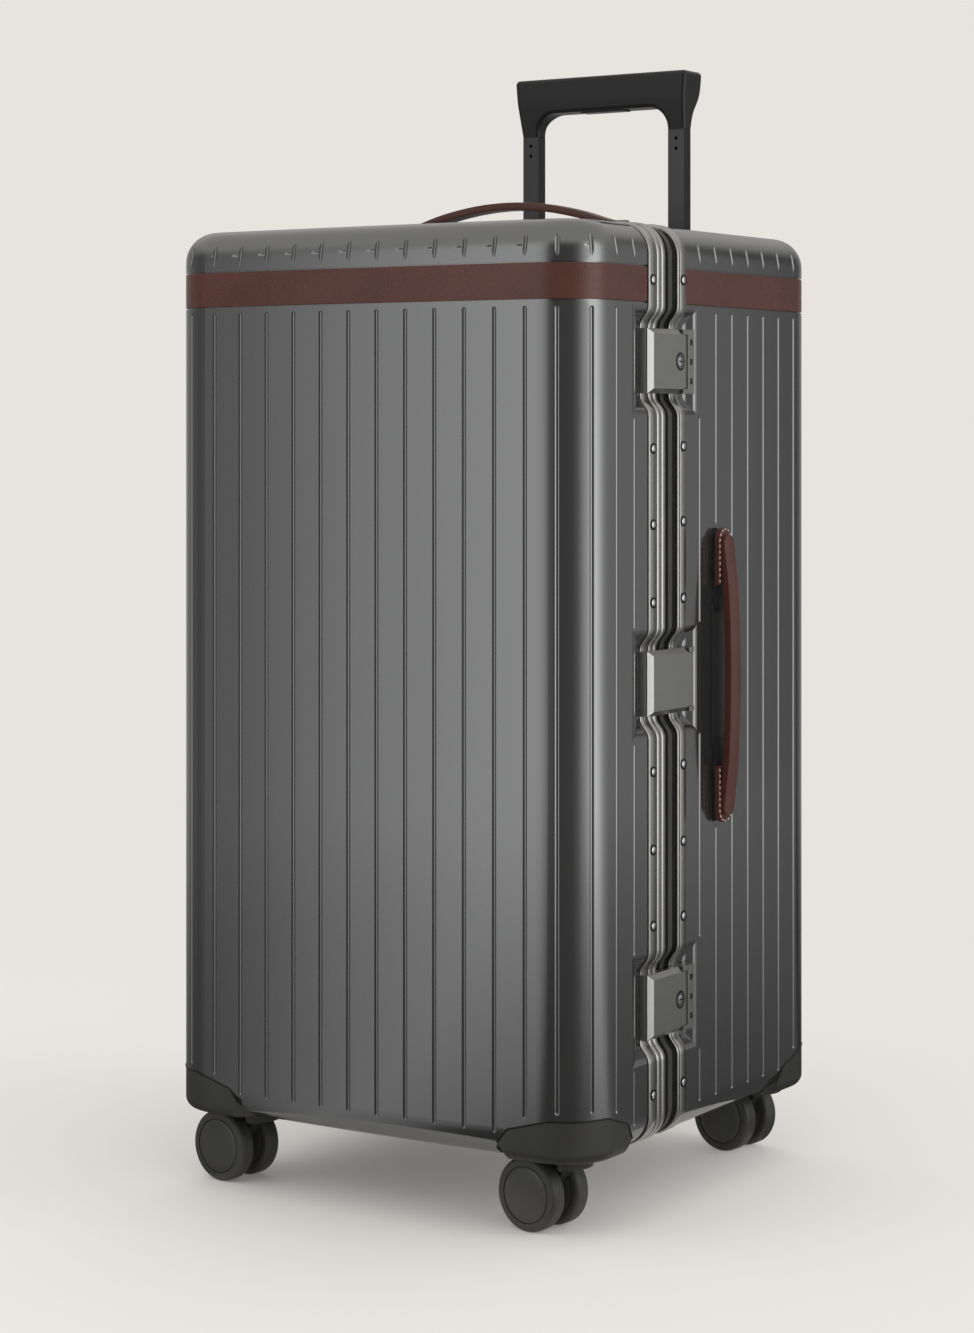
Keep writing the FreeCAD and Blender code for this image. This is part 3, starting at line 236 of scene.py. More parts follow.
finishes = {
    "shell": finish("shellSatin", "grain", {
        "Grain Scale": 1400.0, "Patch Scale": 9.0, "Rough Low": 0.1, "Rough High": 0.14,
        "Dark": grey(0.178, (0.98, 1.0, 0.99)), "Light": grey(0.188, (0.98, 1.0, 0.99))},
        0.005, 0.0002, {"Metallic": 0.9}),
    "frame": finish("frameAluminium", "brushed", {
        "Rough Low": 0.2, "Rough High": 0.34,
        "Dark": grey(0.3, (1, 0.99, 0.93)), "Light": grey(0.46, (1, 0.99, 0.94))},
        0.15, 0.0002, {"Metallic": 1.0}, (18, 1600, 18)),
    "seal": finish("sealRubber", "grain", {
        "Grain Scale": 700.0, "Patch Scale": 20.0, "Rough Low": 0.45, "Rough High": 0.65,
        "Dark": grey(0.02, (1, 1, 0.9)), "Light": grey(0.035, (1, 1, 0.88))},
        0.3, 0.0004, {}),
    "leather": finish("bandLeather", "leather", {
        "Dark": (0.05, 0.0135, 0.0085, 1), "Light": (0.108, 0.032, 0.021, 1)},
        0.5, 0.0005, {"Specular IOR Level": 0.2, "Coat Weight": 0.45, "Coat Roughness": 0.18}),
    "rivet": finish("rivetSteel", "grain", {
        "Grain Scale": 1800.0, "Patch Scale": 60.0, "Rough Low": 0.16, "Rough High": 0.28,
        "Dark": grey(0.55), "Light": grey(0.66)},
        0.05, 0.0002, {"Metallic": 1.0}),
    "latch": finish("latchMetal", "brushed", {
        "Rough Low": 0.26, "Rough High": 0.4,
        "Dark": grey(0.29, (1, 1, 0.94)), "Light": grey(0.37, (1, 1, 0.95))},
        0.1, 0.0002, {"Metallic": 0.95}, (600, 40, 600)),
    # Bright metal for the slanted fronts of the levers: a painted highlight
    "bevel": finish("bevelPaintedHighlight", "brushed", {
        "Rough Low": 0.42, "Rough High": 0.52,
        "Dark": grey(0.8, (1, 1, 0.98)), "Light": grey(0.9, (1, 1, 0.98))},
        0.05, 0.0002, {"Metallic": 1.0}, (600, 40, 600)),
    "steel": finish("pinSteel", "grain", {
        "Grain Scale": 1500.0, "Patch Scale": 50.0, "Rough Low": 0.2, "Rough High": 0.35,
        "Dark": grey(0.45), "Light": grey(0.56)},
        0.05, 0.0002, {"Metallic": 1.0}),
    # Black of the dials, also used for painted shade in gaps, recesses and keyholes
    "dial": finish("dialBlackAndPaintedShade", "grain", {
        "Grain Scale": 1500.0, "Patch Scale": 90.0, "Rough Low": 0.3, "Rough High": 0.45,
        "Dark": grey(0.004), "Light": grey(0.008)},
        0.1, 0.0002, {"Specular IOR Level": 0.25}),
    "tube": finish("tubeAnodised", "brushed", {
        "Rough Low": 0.2, "Rough High": 0.28,
        "Dark": grey(0.045), "Light": grey(0.058)},
        0.03, 0.0002, {"Metallic": 0.85}, (900, 900, 12)),
    "trolley": finish("gripPlastic", "grain", {
        "Grain Scale": 1100.0, "Patch Scale": 30.0, "Rough Low": 0.3, "Rough High": 0.4,
        "Dark": grey(0.008), "Light": grey(0.013)},
        0.1, 0.0004, {"Specular IOR Level": 0.3}),
    "anchor": finish("anchorPlastic", "grain", {
        "Grain Scale": 1100.0, "Patch Scale": 30.0, "Rough Low": 0.45, "Rough High": 0.6,
        "Dark": grey(0.01), "Light": grey(0.018)},
        0.2, 0.0004, {}),
    "lining": finish("liningCloth", "weave", {
        "Dark": grey(0.035, (0.95, 1, 1.02)), "Light": grey(0.085, (0.95, 1, 1.02))},
        0.4, 0.0006, {}),
    "guard": finish("guardPlastic", "grain", {
        "Grain Scale": 1000.0, "Patch Scale": 25.0, "Rough Low": 0.4, "Rough High": 0.52,
        "Dark": grey(0.021, (1, 1, 0.95)), "Light": grey(0.032, (1, 1, 0.95))},
        0.25, 0.0004, {"Specular IOR Level": 0.35}),
    "hub": finish("hubPlastic", "grain", {
        "Grain Scale": 1300.0, "Patch Scale": 30.0, "Rough Low": 0.3, "Rough High": 0.42,
        "Dark": grey(0.034, (1, 1, 0.97)), "Light": grey(0.046, (1, 1, 0.97))},
        0.12, 0.0003, {}),
    "thread": finish("seamThread", "grain", {
        "Grain Scale": 2600.0, "Patch Scale": 200.0, "Rough Low": 0.6, "Rough High": 0.8,
        "Dark": (0.46, 0.34, 0.29, 1), "Light": (0.68, 0.54, 0.48, 1)},
        0.3, 0.0003, {}),
    "wheel": finish("wheelRubber", "grain", {
        "Grain Scale": 900.0, "Patch Scale": 35.0, "Rough Low": 0.42, "Rough High": 0.6,
        "Dark": grey(0.028, (1, 1, 0.95)), "Light": grey(0.04, (1, 1, 0.95))},
        0.2, 0.0004, {}),
}
slotOf = {part["node"]: part["material_slot"] for part in frame["record"]["subparts"]}
bodyOf = {}
for body, members in frame["record"]["behaviour"]["bodies"].items():
    for node in members:
        bodyOf[node] = body
for name, part in nodes.items():
    for place in part.material_slots:
        place.material = finishes[slotOf[name]]
print("finishes on the carried-over nodes:", len(nodes))

tiny = 0.00001
caseCorners = [(end, side) for end in ("front", "rear") for side in ("left", "right")]


# Hand tools: one object at a time, picked faces or edges, applied modifiers
def pickOnly(piece):
    bpy.ops.object.select_all(action="DESELECT")
    bpy.context.view_layer.objects.active = piece
    piece.select_set(True)


def enterEdit(piece, mode="FACE"):
    pickOnly(piece)
    bpy.ops.object.mode_set(mode="EDIT")
    bpy.ops.mesh.select_mode(type=mode)
    bpy.ops.mesh.select_all(action="DESELECT")


def leaveEdit():
    bpy.ops.object.mode_set(mode="OBJECT")


def pickFaces(piece, wanted):
    shape = bmesh.from_edit_mesh(piece.data)
    for face in shape.faces:
        face.select_set(bool(wanted(face)))
    shape.select_flush_mode()
    bmesh.update_edit_mesh(piece.data)


def pickEdges(piece, wanted):
    shape = bmesh.from_edit_mesh(piece.data)
    for edge in shape.edges:
        edge.select_set(bool(wanted(edge)))
    shape.select_flush_mode()
    bmesh.update_edit_mesh(piece.data)


def edgeBetween(edge, first, second):
    if len(edge.link_faces) != 2:
        return False
    one, two = edge.link_faces
    return (first(one) and second(two)) or (first(two) and second(one))


def facesUp(face):
    return face.normal.z > 0.9


def facesDown(face):
    return face.normal.z < -0.9


def facesAside(face):
    return abs(face.normal.z) < 0.3


def upperEdge(edge):
    return edgeBetween(edge, facesUp, facesAside)


def lowerEdge(edge):
    return edgeBetween(edge, facesDown, facesAside)


def mergeAll():
    bpy.ops.mesh.select_all(action="SELECT")
    bpy.ops.mesh.remove_doubles(threshold=tiny)


def extrudeBy(height):
    bpy.ops.mesh.extrude_region_move(TRANSFORM_OT_translate={"value": (0, 0, height)})


def insetBy(width, height=0.0):
    bpy.ops.mesh.inset(thickness=width)
    if height:
        bpy.ops.transform.translate(value=(0, 0, height))


def roundPicked(width, segments):
    bpy.ops.mesh.bevel(offset=width, segments=segments, profile=0.5, clamp_overlap=True)


def applyAll(piece):
    pickOnly(piece)
    for modifier in list(piece.modifiers):
        bpy.ops.object.modifier_apply(modifier=modifier.name)


def smooth(piece, angle):
    pickOnly(piece)
    bpy.ops.object.shade_smooth_by_angle(angle=math.radians(angle))


def settle(piece):
    pickOnly(piece)
    bpy.ops.object.transform_apply(location=True, rotation=True, scale=True)


def joined(name, pieces):
    bpy.ops.object.select_all(action="DESELECT")
    for piece in pieces:
        piece.select_set(True)
    bpy.context.view_layer.objects.active = pieces[0]
    bpy.ops.object.join()
    whole = bpy.context.object
    whole.name = name
    return whole


def copyOf(piece, name, matrix=None):
    twin = bpy.data.objects.new(name, piece.data.copy())
    bpy.context.collection.objects.link(twin)
    if matrix is not None:
        twin.data.transform(matrix)
    return twin


def addCylinder(name, sides, radius, depth, where=(0, 0, 0)):
    bpy.ops.mesh.primitive_cylinder_add(vertices=sides, radius=radius, depth=depth, end_fill_type="NGON",
                                        location=where)
    piece = bpy.context.object
    piece.name = name
    settle(piece)
    return piece


def fromAxis(polygon):
    return math.hypot(polygon.center.x, polygon.center.y)


# Adds finishes to a piece, whose second one goes on the wanted faces
def paintFaces(piece, looks, wanted):
    for look in looks:
        piece.data.materials.append(finishes[look])
    for polygon in piece.data.polygons:
        polygon.material_index = 1 if wanted(polygon) else 0


def dress(piece, body, replaced=(), looks=None):
    if looks:
        piece.data.materials.clear()
        for look in looks:
            piece.data.materials.append(look)
    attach(piece, body)
    for node in replaced:
        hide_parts(node)


# A carried-over node as a merged copy whose edges are broken by a small rounding
def roundedCopy(node, name, width, segments, angle=35):
    piece = copyOf(nodes[node], name)
    enterEdit(piece, "VERT")
    mergeAll()
    bpy.ops.mesh.dissolve_limited(angle_limit=0.01)
    leaveEdit()
    edge = piece.modifiers.new("edge", "BEVEL")
    edge.width = width
    edge.segments = segments
    edge.limit_method = "ANGLE"
    edge.angle_limit = math.radians(angle)
    applyAll(piece)
    smooth(piece, angle=40)
    evenShade = piece.modifiers.new("evenShade", "WEIGHTED_NORMAL")
    evenShade.keep_sharp = True
    applyAll(piece)
    dress(piece, bodyOf[node], [node], [finishes[slotOf[node]]])
    return piece


# Leather bands let into both shells, with turned edges and a gap above and below
bandLook = {"edge": (0.0006, 3), "gap": 0.0008}
for node, name in (("lid_band", "lidBand"), ("base_band", "baseBand")):
    band = roundedCopy(node, name, *bandLook["edge"])
    low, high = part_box(node)
    middle = (low[2] + high[2]) / 2
    shrink = 1 - 2 * bandLook["gap"] / (high[2] - low[2])
    lift = Matrix.Translation((0, 0, middle * (1 - shrink)))
    band.data.transform(lift @ Matrix.Diagonal((1, 1, shrink, 1)))
print("leather bands done")


# Latch bodies and levers; the slanted front of each lever gets a brighter metal, a painted highlight
latchLook = {"edge": (0.00035, 2), "slant": 0.35}
latchStems = {"upper_latch": "upperLatch", "middle_clasp": "middleClasp", "lower_latch": "lowerLatch"}


# Faces slanting forward and to the right take the bright metal, a painted highlight
def takesPaintedHighlight(polygon):
    return polygon.normal.x > latchLook["slant"] and polygon.normal.y < -latchLook["slant"]


for stem, name in latchStems.items():
    lever = roundedCopy(stem + "_lever", name + "Lever", *latchLook["edge"])
    paintFaces(lever, ["bevel"], takesPaintedHighlight)
    roundedCopy(stem + "_body", name + "Body", *latchLook["edge"])
print("latch parts done")


# Corner guards, each with a black line against the shell along its upper rim: painted shade of the gap there
guardLook = {"edge": (0.0009, 2, 28), "gapShadeRadius": 0.0007, "gapShadeSides": 2, "rimRise": 0.3, "rimFold": 40}


def facesOut(face):
    return facesAside(face) and face.normal.xy.dot(face.calc_center_median().xy) > 0


def facesRim(face):
    return face.normal.z > guardLook["rimRise"]


def onRim(edge):
    return edgeBetween(edge, facesOut, facesRim) and edge.calc_face_angle() > math.radians(guardLook["rimFold"])


# A thin black tube led along the guard's upper rim, painted shade in the gap between guard and shell
def makeGapShade(node, name):
    seam = copyOf(nodes[node], name)
    enterEdit(seam, "VERT")
    mergeAll()
    bpy.ops.mesh.select_mode(type="EDGE")
    pickEdges(seam, onRim)
    bpy.ops.mesh.select_all(action="INVERT")
    bpy.ops.mesh.delete(type="EDGE")
    leaveEdit()
    bpy.ops.object.convert(target="CURVE")
    seam = bpy.context.object
    seam.data.bevel_depth = guardLook["gapShadeRadius"]
    seam.data.bevel_resolution = guardLook["gapShadeSides"]
    seam.data.use_fill_caps = True
    bpy.ops.object.convert(target="MESH")
    seam = bpy.context.object
    seam.name = name
    smooth(seam, angle=60)
    dress(seam, bodyOf[node], [], [finishes["dial"]])


for end, side in caseCorners:
    node = end + "_" + side + "_guard"
    name = end + side.capitalize() + "Guard"
    roundedCopy(node, name, *guardLook["edge"])
    makeGapShade(node, name + "Seam")
print("corner guards done")

tubeLook = {"edge": (0.0012, 3, 60)}
roundedCopy("trolley_upper_tubes", "upperTubes", *tubeLook["edge"])
print("upper tubes done")


# Key cylinders: a bright plug with a black key slot and a black sunk ring, and a black ring round it on the lever;
# all three are painted shade of the keyhole and the recess
plugLook = {
    "sides": 48, "radius": 0.0053, "depth": 0.0082, "rim": 0.0005, "ring": 0.0009, "ringSlack": 0.0002,
    "rimShare": 0.9, "sink": 0.0006, "rise": 0.00048, "crown": 0.0008, "dome": 0.0002,
    "slot": (0.0013, 0.0052, 0.0005), "slotLevel": -0.00012,
    "collar": 0.0064, "collarHalf": 0.0009, "collarFlat": 0.16, "collarSides": 10,
}


# Faces of the sunk ring round the plug take black: painted shade in the recess
def isPlugRecessShade(polygon):
    outer = plugLook["radius"] - plugLook["rim"] * plugLook["rimShare"]
    inner = plugLook["radius"] - plugLook["rim"] - plugLook["ring"] - plugLook["ringSlack"]
    return inner < fromAxis(polygon) < outer or polygon.normal.z < -0.5


def makePlug():
    plug = addCylinder("plugMaster", plugLook["sides"], plugLook["radius"], plugLook["depth"],
                       (0, 0, -plugLook["depth"] / 2))
    enterEdit(plug)
    pickFaces(plug, facesUp)
    insetBy(plugLook["rim"])
    extrudeBy(-plugLook["sink"])
    insetBy(plugLook["ring"])
    extrudeBy(plugLook["rise"])
    insetBy(plugLook["crown"], plugLook["dome"])
    leaveEdit()
    smooth(plug, angle=40)
    paintFaces(plug, ("rivet", "dial"), isPlugRecessShade)
    # The key slot is a black box on the plug face: painted shade of the keyhole
    bpy.ops.mesh.primitive_cube_add(size=1, location=(0, 0, plugLook["slotLevel"]))
    slot = bpy.context.object
    slot.scale = plugLook["slot"]
    settle(slot)
    slot.data.materials.append(finishes["dial"])
    return joined("plugMaster", [plug, slot])


# A flat black ring on the lever round the plug: painted shade round the cylinder
def makeShadeRing(name):
    bpy.ops.mesh.primitive_torus_add(
        major_radius=plugLook["collar"], minor_radius=plugLook["collarHalf"],
        major_segments=plugLook["sides"], minor_segments=plugLook["collarSides"])
    collar = bpy.context.object
    collar.name = name
    collar.scale = (1, 1, plugLook["collarFlat"])
    settle(collar)
    smooth(collar, angle=60)
    return collar


plugMaster = makePlug()
faceRight = Matrix.Rotation(math.pi / 2, 4, "Y")
for stem in ("upper_latch", "lower_latch"):
    node = stem + "_cylinder"
    lever = stem + "_lever"
    low, high = (Vector(corner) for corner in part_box(node))
    middle = (low + high) / 2
    placing = Matrix.Translation((high.x, middle.y, middle.z)) @ faceRight
    plug = copyOf(plugMaster, latchStems[stem] + "Plug", placing)
    dress(plug, bodyOf[node], [node])
    collar = makeShadeRing(latchStems[stem] + "ShadeRing")
    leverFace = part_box(lever)[1][0]
    collar.data.transform(Matrix.Translation((leverFace, middle.y, middle.z)) @ faceRight)
    dress(collar, bodyOf[lever], [], [finishes["dial"]])
bpy.data.objects.remove(plugMaster)
print("key cylinders done")


# Frame strips: a section led round the stepped outline of the case, in millimetres out from it and along Y
railLook = {
    "half": 0.202, "low": 0.062, "high": 0.784, "corner": 0.025,
    "levels": (0.1703, 0.423, 0.6757), "stepHalf": 0.030, "stepRun": 0.010, "stepDepth": 0.008,
    "stepBend": 0.011, "arcStep": 7.0, "leastMitre": 0.5,
    "lidRail": ((0.05, -102.3), (0.85, -102.3), (1.2, -101.9), (1.28, -96.0), (1.2, -90.2), (0.95, -89.8),
                (0.3, -89.6), (0.3, -89.0), (0.75, -88.7), (1.2, -87.8), (1.45, -86.6), (1.5, -85.7),
                (1.45, -84.8), (1.2, -83.6), (0.75, -82.7), (0.3, -82.4), (0.3, -81.8), (0.75, -81.5),
                (1.2, -80.6), (1.45, -79.5), (1.5, -78.6), (1.45, -77.7), (1.2, -76.6), (0.7, -75.7),
                (0.0, -75.6), (-8.0, -75.6), (-8.0, -86.6), (0.05, -86.6)),
    "baseRail": ((0.0, -56.6), (0.7, -56.5), (1.2, -56.0), (1.45, -55.3), (1.45, -54.6), (1.2, -53.8),
                 (0.75, -53.4), (0.3, -53.2), (0.3, -52.5), (0.95, -52.3), (1.2, -51.9), (1.28, -47.6),
                 (1.2, -43.4), (0.85, -43.0), (0.05, -43.0), (0.05, -51.9), (-8.0, -51.9),
                 (-8.0, -75.2), (-6.0, -75.2), (-6.0, -56.6)),
}


def railOutline():
    half, low, high, corner = (railLook[key] for key in ("half", "low", "high", "corner"))
    step, run, bend = (railLook[key] for key in ("stepHalf", "stepRun", "stepBend"))
    floorX = half - railLook["stepDepth"]
    corners = [(-half, low, corner), (half, low, corner)]
    for level in railLook["levels"]:
        corners += [(half, level - step - run, bend), (floorX, level - step, bend),
                    (floorX, level + step, bend), (half, level + step + run, bend)]
    corners += [(half, high, corner), (-half, high, corner)]
    points = []
    for index, (x, z, radius) in enumerate(corners):
        here = Vector((x, z))
        before = (Vector(corners[index - 1][:2]) - here).normalized()
        after = (Vector(corners[(index + 1) % len(corners)][:2]) - here).normalized()
        halfAngle = before.angle(after) / 2
        centre = here + (before + after).normalized() * (radius / math.sin(halfAngle))
        reach = radius / math.tan(halfAngle)
        first = here + before * reach - centre
        last = here + after * reach - centre
        sweep = first.angle_signed(last)
        count = max(2, int(abs(math.degrees(sweep)) / railLook["arcStep"]))
        for k in range(count + 1):
            turned = first.copy()
            turned.rotate(Matrix.Rotation(-sweep * k / count, 2))
            points.append(centre + turned)
    return points


def makeRail(name, body, node):
    section = railLook[name]
    flat = railOutline()
    count = len(flat)
    bpy.ops.mesh.primitive_plane_add(size=1)
    rail = bpy.context.object
    rail.name = name
    enterEdit(rail, "VERT")
    bpy.ops.mesh.select_all(action="SELECT")
    bpy.ops.mesh.delete(type="VERT")
    shape = bmesh.from_edit_mesh(rail.data)
    rings = []
    for index, point in enumerate(flat):
        ahead = (flat[(index + 1) % count] - point).normalized()
        behind = (point - flat[index - 1]).normalized()
        out = Vector((ahead.y + behind.y, -ahead.x - behind.x)).normalized()
        out /= max(railLook["leastMitre"], out.dot(Vector((ahead.y, -ahead.x))))
        rings.append([shape.verts.new((point.x + out.x * u / 1000, v / 1000, point.y + out.y * u / 1000))
                      for u, v in section])
    for index in range(count):
        one, two = rings[index], rings[(index + 1) % count]
        for k in range(len(section)):
            j = (k + 1) % len(section)
            shape.faces.new((one[k], one[j], two[j], two[k]))
    bmesh.update_edit_mesh(rail.data)
    mergeAll()
    bpy.ops.mesh.normals_make_consistent(inside=False)
    leaveEdit()
    smooth(rail, angle=50)
    dress(rail, body, [node], [finishes["frame"]])


makeRail("lidRail", "lid", "lid_frame")
makeRail("baseRail", "base", "base_frame")
print("frame rails done")


# Rivets: a countersunk ring with a domed head in it, in rows given in millimetres; the ring is black, a painted
# shade in the countersink
rivetLook = {
    "sides": 24, "radius": 0.0043, "depth": 0.0012, "rim": 0.0003, "ring": 0.0011, "headSlack": 0.0001,
    "sink": 0.0007, "rise": 0.00078, "dome": ((0.0006, 0.000364), (0.0009, 0.000182)), "standOff": 0.0014,
    "heights": (66.0, 127.0, 186.5, 318.5), "ends": (45.0, 120.0),
    "lidY": -96.05, "lidDrop": 2.5, "baseY": -47.65, "baseDrop": 1.0,
}


# Faces outside the head, the countersunk ring and its rim, take black: painted shade
def isRivetRecessShade(polygon):
    head = rivetLook["radius"] - rivetLook["rim"] - rivetLook["ring"]
    return fromAxis(polygon) > head + rivetLook["headSlack"]


def makeRivet():
    rivet = addCylinder("rivetMaster", rivetLook["sides"], rivetLook["radius"], rivetLook["depth"])
    enterEdit(rivet)
    pickFaces(rivet, facesUp)
    insetBy(rivetLook["rim"])
    extrudeBy(-rivetLook["sink"])
    insetBy(rivetLook["ring"])
    extrudeBy(rivetLook["rise"])
    for width, height in rivetLook["dome"]:
        insetBy(width, height)
    leaveEdit()
    smooth(rivet, angle=50)
    paintFaces(rivet, ("rivet", "dial"), isRivetRecessShade)
    return rivet


def setRivets(name, y, drop, body, node, master):
    heads = []
    side = railLook["half"] + rivetLook["standOff"]
    top = railLook["high"] + rivetLook["standOff"]
    bottom = railLook["low"] - rivetLook["standOff"]
    middle = (railLook["low"] + railLook["high"]) / 2
    for height in rivetLook["heights"]:
        for sign in (-1, 1):
            for way in (-1, 1):
                where = Vector((way * side, y / 1000, middle + (sign * height - drop) / 1000))
                heads.append((where, Matrix.Rotation(way * math.pi / 2, 4, "Y")))
    for place in rivetLook["ends"]:
        for sign in (-1, 1):
            x = sign * place / 1000
            heads.append((Vector((x, y / 1000, top)), Matrix.Identity(4)))
            heads.append((Vector((x, y / 1000, bottom)), Matrix.Rotation(math.pi, 4, "X")))
    copies = [copyOf(master, name + str(k), Matrix.Translation(where) @ turn)
              for k, (where, turn) in enumerate(heads)]
    dress(joined(name, copies), body, [node])


rivetMaster = makeRivet()
setRivets("lidRivets", rivetLook["lidY"], rivetLook["lidDrop"], "lid", "lid_frame_rivets", rivetMaster)
setRivets("baseRivets", rivetLook["baseY"], rivetLook["baseDrop"], "base", "base_frame_rivets", rivetMaster)
bpy.data.objects.remove(rivetMaster)
print("rivets done")


# Wheels: a tyre with round shoulders, a groove and a shallow domed hub, modelled once
wheelLook = {
    "sides": 80, "radius": 0.029, "width": 0.015, "shoulder": 0.0036, "shoulderSteps": 6, "hub": 0.0215,
    "hubSlack": 0.2, "lip": 0.00012, "groove": 0.0009, "grooveDepth": 0.0014, "hubRise": 0.0012,
    "dome": ((0.0006, 0.0003), (0.005, 0.00035), (0.006, 0.0002), (0.005, 0.0001)), "turn": -8.0,
}


def shoulderEdge(edge):
    return edgeBetween(edge, facesAside, lambda face: not facesAside(face))


def isHub(polygon):
    return fromAxis(polygon) < wheelLook["hub"] + wheelLook["groove"] * wheelLook["hubSlack"]


def makeWheel():
    wheel = addCylinder("wheelMaster", wheelLook["sides"], wheelLook["radius"], wheelLook["width"])
    wall = wheelLook["radius"] - wheelLook["shoulder"] - wheelLook["hub"] - wheelLook["groove"]
    enterEdit(wheel, "EDGE")
    pickEdges(wheel, shoulderEdge)
    bpy.ops.mesh.bevel(offset=wheelLook["shoulder"], segments=wheelLook["shoulderSteps"], profile=0.5)
    bpy.ops.mesh.select_mode(type="FACE")
    for outward, sign in ((facesUp, 1), (facesDown, -1)):
        pickFaces(wheel, lambda face: outward(face) and len(face.verts) > wheelLook["sides"] / 2)
        insetBy(wall)
        insetBy(wheelLook["lip"])
        extrudeBy(-wheelLook["grooveDepth"] * sign)
        insetBy(wheelLook["groove"])
        extrudeBy(wheelLook["hubRise"] * sign)
        for width, height in wheelLook["dome"]:
            insetBy(width, height * sign)
    leaveEdit()
    smooth(wheel, angle=40)
    paintFaces(wheel, ("wheel", "hub"), isHub)
    return wheel


wheelMaster = makeWheel()
casterTurn = Matrix.Rotation(math.radians(wheelLook["turn"]), 4, "Z")
for end, side in caseCorners:
    for letter, flip in (("a", math.pi / 2), ("b", -math.pi / 2)):
        node = end + "_" + side + "_wheel_" + letter
        name = end + side.capitalize() + "Wheel" + letter.upper()
        low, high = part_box(node)
        centre = (Vector(low) + Vector(high)) / 2
        turn = casterTurn @ Matrix.Rotation(flip, 4, "X")
        wheel = copyOf(wheelMaster, name, Matrix.Translation(centre) @ turn)
        dress(wheel, node, [node])
bpy.data.objects.remove(wheelMaster)
print("wheels done")


# Handles: a padded strap on two stitched tabs, modelled along X with Z away from the case
handleLook = {
    "length": 0.2268, "width": 0.0172, "thick": 0.0062, "seat": 0.0062, "crown": 0.0006,
    "cuts": 48, "rows": (-0.7, -0.47, -0.23, 0.0, 0.23, 0.47, 0.7), "endRound": 0.93, "endSteps": 10,
    "bend": 1.2, "thinEnd": 0.72, "thinFrom": 0.112, "thinTo": 0.064,
    "upperEdge": (0.0011, 4), "lowerEdge": (0.0008, 2),
    "reach": 0.119, "tabLength": 0.046, "tabWidth": 0.0208, "tabLow": 0.00305, "tabThick": 0.0040,
    "tabCuts": 6, "tabEdge": (0.0006, 3),
    "stitchLength": 0.0027, "stitchPitch": 0.0046, "stitchRadius": 0.0005, "stitchInset": 0.001,
    "stitchLift": 0.0001, "stitchLean": 0.12,
}
handles = {
    "sideHandle": {"node": "side_handle", "arch": 0.005, "span": 0.114, "turn": 90, "place": (0.202, 0.012, 0.423)},
    "topHandle": {"node": "top_handle", "arch": 0.017, "span": 0.102, "turn": 0, "place": (0, 0.0195, 0.784)},
}


# A flat bar from x0 to x1 with round ends where they are asked for, cut across and along for bending
def roundedSlab(name, x0, x1, width, low, high, roundLeft, roundRight, cuts, rows=()):
    bpy.ops.mesh.primitive_plane_add(size=1)
    slab = bpy.context.object
    slab.name = name
    middle = (x0 + x1) / 2
    slab.scale = (x1 - x0, width, 1)
    slab.location = (middle, 0, low)
    settle(slab)
    enterEdit(slab, "VERT")
    shape = bmesh.from_edit_mesh(slab.data)
    for vert in shape.verts:
        vert.select_set(roundLeft if vert.co.x < middle else roundRight)
    bmesh.update_edit_mesh(slab.data)
    bpy.ops.mesh.bevel(affect="VERTICES", offset=width / 2 * handleLook["endRound"],
                       segments=handleLook["endSteps"])
    bpy.ops.mesh.select_all(action="SELECT")
    extrudeBy(high - low)
    bpy.ops.mesh.select_all(action="SELECT")
    bpy.ops.mesh.normals_make_consistent(inside=False)
    for k in range(1, cuts):
        bpy.ops.mesh.select_all(action="SELECT")
        bpy.ops.mesh.bisect(plane_co=(x0 + (x1 - x0) * k / cuts, 0, 0), plane_no=(1, 0, 0))
    for share in rows:
        bpy.ops.mesh.select_all(action="SELECT")
        bpy.ops.mesh.bisect(plane_co=(0, width / 2 * share, 0), plane_no=(0, 1, 0))
    leaveEdit()
    return slab


def handleRise(along, span):
    return max(0.0, 1 - (along / span) ** 2) ** handleLook["bend"]


# The padding thins towards both ends
def handlePadding(along):
    share = (handleLook["thinFrom"] - abs(along)) / (handleLook["thinFrom"] - handleLook["thinTo"])
    share = min(1.0, max(0.0, share))
    return handleLook["thinEnd"] + (1 - handleLook["thinEnd"]) * share * share * (3 - 2 * share)


def makeStrap(name, arch, span):
    half = handleLook["length"] / 2
    low = handleLook["seat"]
    top = low + handleLook["thick"]
    strap = roundedSlab(name, -half, half, handleLook["width"], low, top, True, True,
                        handleLook["cuts"], handleLook["rows"])
    enterEdit(strap, "EDGE")
    pickEdges(strap, upperEdge)
    roundPicked(*handleLook["upperEdge"])
    bpy.ops.mesh.select_mode(type="EDGE")
    pickEdges(strap, lowerEdge)
    roundPicked(*handleLook["lowerEdge"])
    shape = bmesh.from_edit_mesh(strap.data)
    for vert in shape.verts:
        if vert.co.z > top - tiny:
            vert.co.z += handleLook["crown"] * (1 - (2 * vert.co.y / handleLook["width"]) ** 2)
        padding = (vert.co.z - low) * handlePadding(vert.co.x)
        vert.co.z = low + padding + arch * handleRise(vert.co.x, span)
    bmesh.update_edit_mesh(strap.data)
    leaveEdit()
    smooth(strap, angle=50)
    return strap


def makeTab(name, sign):
    near, tip = sign * (handleLook["reach"] - handleLook["tabLength"]), sign * handleLook["reach"]
    low = handleLook["tabLow"]
    tab = roundedSlab(name, min(near, tip), max(near, tip), handleLook["tabWidth"], low,
                      low + handleLook["tabThick"], sign < 0, sign > 0, handleLook["tabCuts"])
    enterEdit(tab, "EDGE")
    pickEdges(tab, upperEdge)
    roundPicked(*handleLook["tabEdge"])
    leaveEdit()
    smooth(tab, angle=50)
    return tab


def makeStitch():
    bpy.ops.mesh.primitive_uv_sphere_add(segments=8, ring_count=6, radius=1)
    stitch = bpy.context.object
    stitch.rotation_euler = (0, math.pi / 2, 0)
    settle(stitch)
    stitch.scale = (handleLook["stitchLength"] / 2, handleLook["stitchRadius"], handleLook["stitchRadius"])
    settle(stitch)
    smooth(stitch, angle=80)
    return stitch


